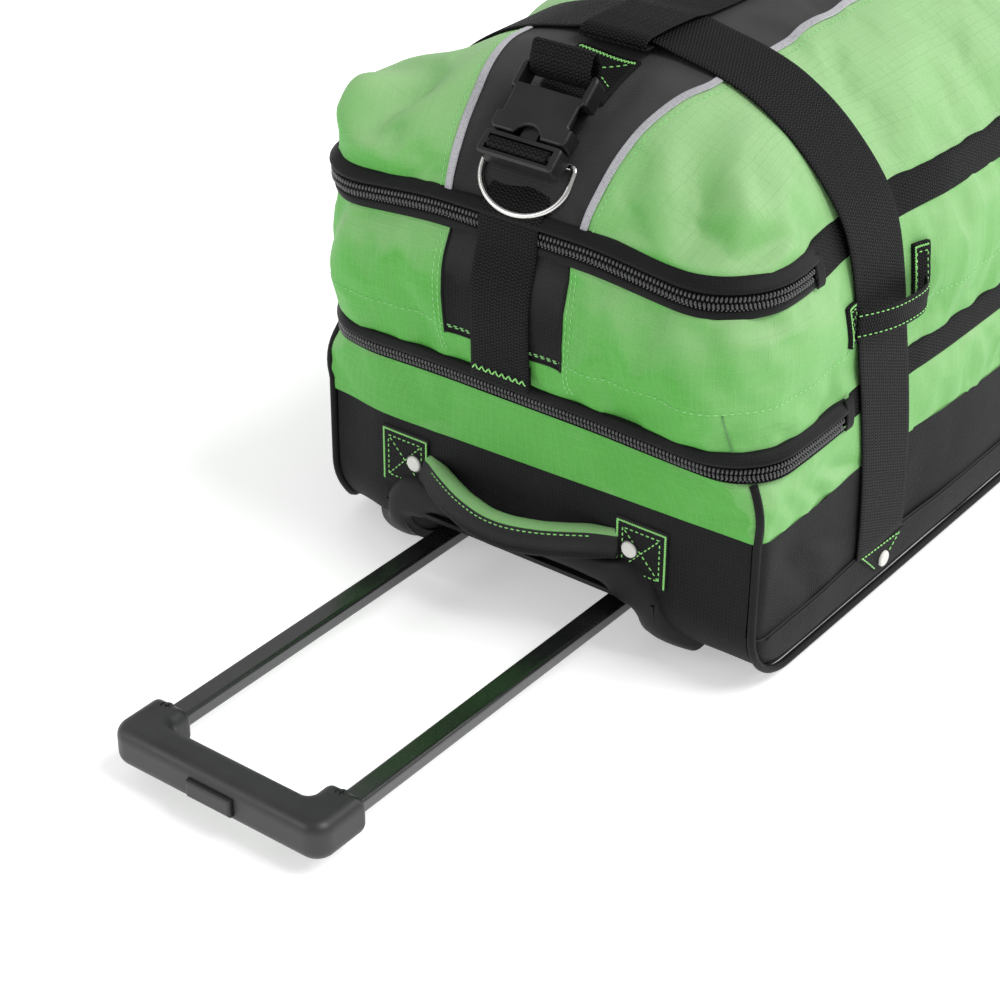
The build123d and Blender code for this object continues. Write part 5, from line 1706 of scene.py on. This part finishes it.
rim_out, rim_in = along_edge(RIM_OUT, 40), along_edge(RIM_IN, 40)
profile = [(-0.04, -1.5), (0.0, 0.6), (0.06, 3.6), (0.16, 6.0), (0.32, 7.3), (0.55, 7.7), (0.78, 7.2),
           (0.92, 5.6), (1.0, 3.0), (1.03, -2.0), (1.04, -7.0)]
rim_rows = []
for share, lift in profile:
    flat = rim_out * (1 - share) + rim_in * share
    rim_rows.append(wrap_point(flat[:, 0], flat[:, 1], lift))
rim = sheet_grid("housing_rim", np.array(rim_rows), housing_plastic)
smoothed(rim, 1)
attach(rim, "root")

# ---- padding inside -----------------------------------------------------------------------------
cup_mesh = nodes["ball_cups"].data.copy()
cup_mesh.name = "ball_cup_pads"
cup_mesh.transform(nodes["ball_cups"].matrix_world)
cup_mesh.materials.clear()
cup_mesh.materials.append(foam)
cups = bpy.data.objects.new("ball_cup_pads", cup_mesh)
scene.collection.objects.link(cups)
shape = cups.modifiers.new("remesh", "REMESH")
shape.mode = "VOXEL"
shape.voxel_size = 0.004
soften = cups.modifiers.new("soften", "SMOOTH")
soften.factor = 0.5
soften.iterations = 6
applied(cups)
cups.data.polygons.foreach_set("use_smooth", [True] * len(cups.data.polygons))
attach(cups, "root")
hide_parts("ball_cups")

# ---- stage ------------------------------------------------------------------------------------
floor_mesh = bpy.data.meshes.new("floor")
FLOOR_HALF = 30
floor_corners = [(x * FLOOR_HALF, y * FLOOR_HALF, 0) for x, y in ((-1, -1), (1, -1), (1, 1), (-1, 1))]
floor_mesh.from_pydata(floor_corners, [], [(0, 1, 2, 3)])
floor_shader = Shader("floor_white", (0.97, 0.97, 0.97), 0.9, Emission_Strength=0.40)
floor_shader.bsdf.inputs["Emission Color"].default_value = (1.0, 1.0, 1.0, 1)
floor_mesh.materials.append(floor_shader.material)
floor = bpy.data.objects.new("floor", floor_mesh)
scene.collection.objects.link(floor)

world = bpy.data.worlds.new("studio")
world.use_nodes = True
world.node_tree.nodes["Background"].inputs["Color"].default_value = (1.0, 1.0, 1.0, 1)
world.node_tree.nodes["Background"].inputs["Strength"].default_value = 0.53
scene.world = world
scene.view_settings.view_transform = "Standard"


def area_light(name, place, aim, size, power):
    """Square softbox at a place, turned to an aim point."""
    light = bpy.data.lights.new(name, "AREA")
    light.shape = "SQUARE"
    light.size = size
    light.energy = power
    obj = bpy.data.objects.new(name, light)
    obj.location = place
    obj.rotation_mode = "QUATERNION"
    obj.rotation_quaternion = (Vector(aim) - Vector(place)).to_track_quat("-Z", "Y")
    scene.collection.objects.link(obj)


sun = bpy.data.lights.new("key", "SUN")
sun.energy = 1.7
sun.angle = math.radians(28)
key = bpy.data.objects.new("key", sun)
key.rotation_mode = "QUATERNION"
key.rotation_quaternion = Vector((1.5, 0.25, 2.0)).to_track_quat("Z", "Y")
scene.collection.objects.link(key)
area_light("back", (1.2, 2.2, 1.5), (0, 0, 0.2), 1.4, 25)
area_light("front", (-1.4, -2.2, 1.1), (0, -0.2, 0.15), 1.2, 12)

camera_data = bpy.data.cameras.new("camera")
camera_data.sensor_width = 36.0
camera_data.lens = 87.79
camera = bpy.data.objects.new("camera", camera_data)
camera.location = (0.6826, -1.1520, 0.7612)
camera.rotation_mode = "QUATERNION"
scene.collection.objects.link(camera)
scene.camera = camera

right = Vector((0.79349, 0.60857, 0.00308))
up = Vector((-0.31697, 0.40895, 0.85574))
camera.rotation_quaternion = Matrix(
    (right, up, Vector((0.51952, -0.68000, 0.51740)))).transposed().to_quaternion()
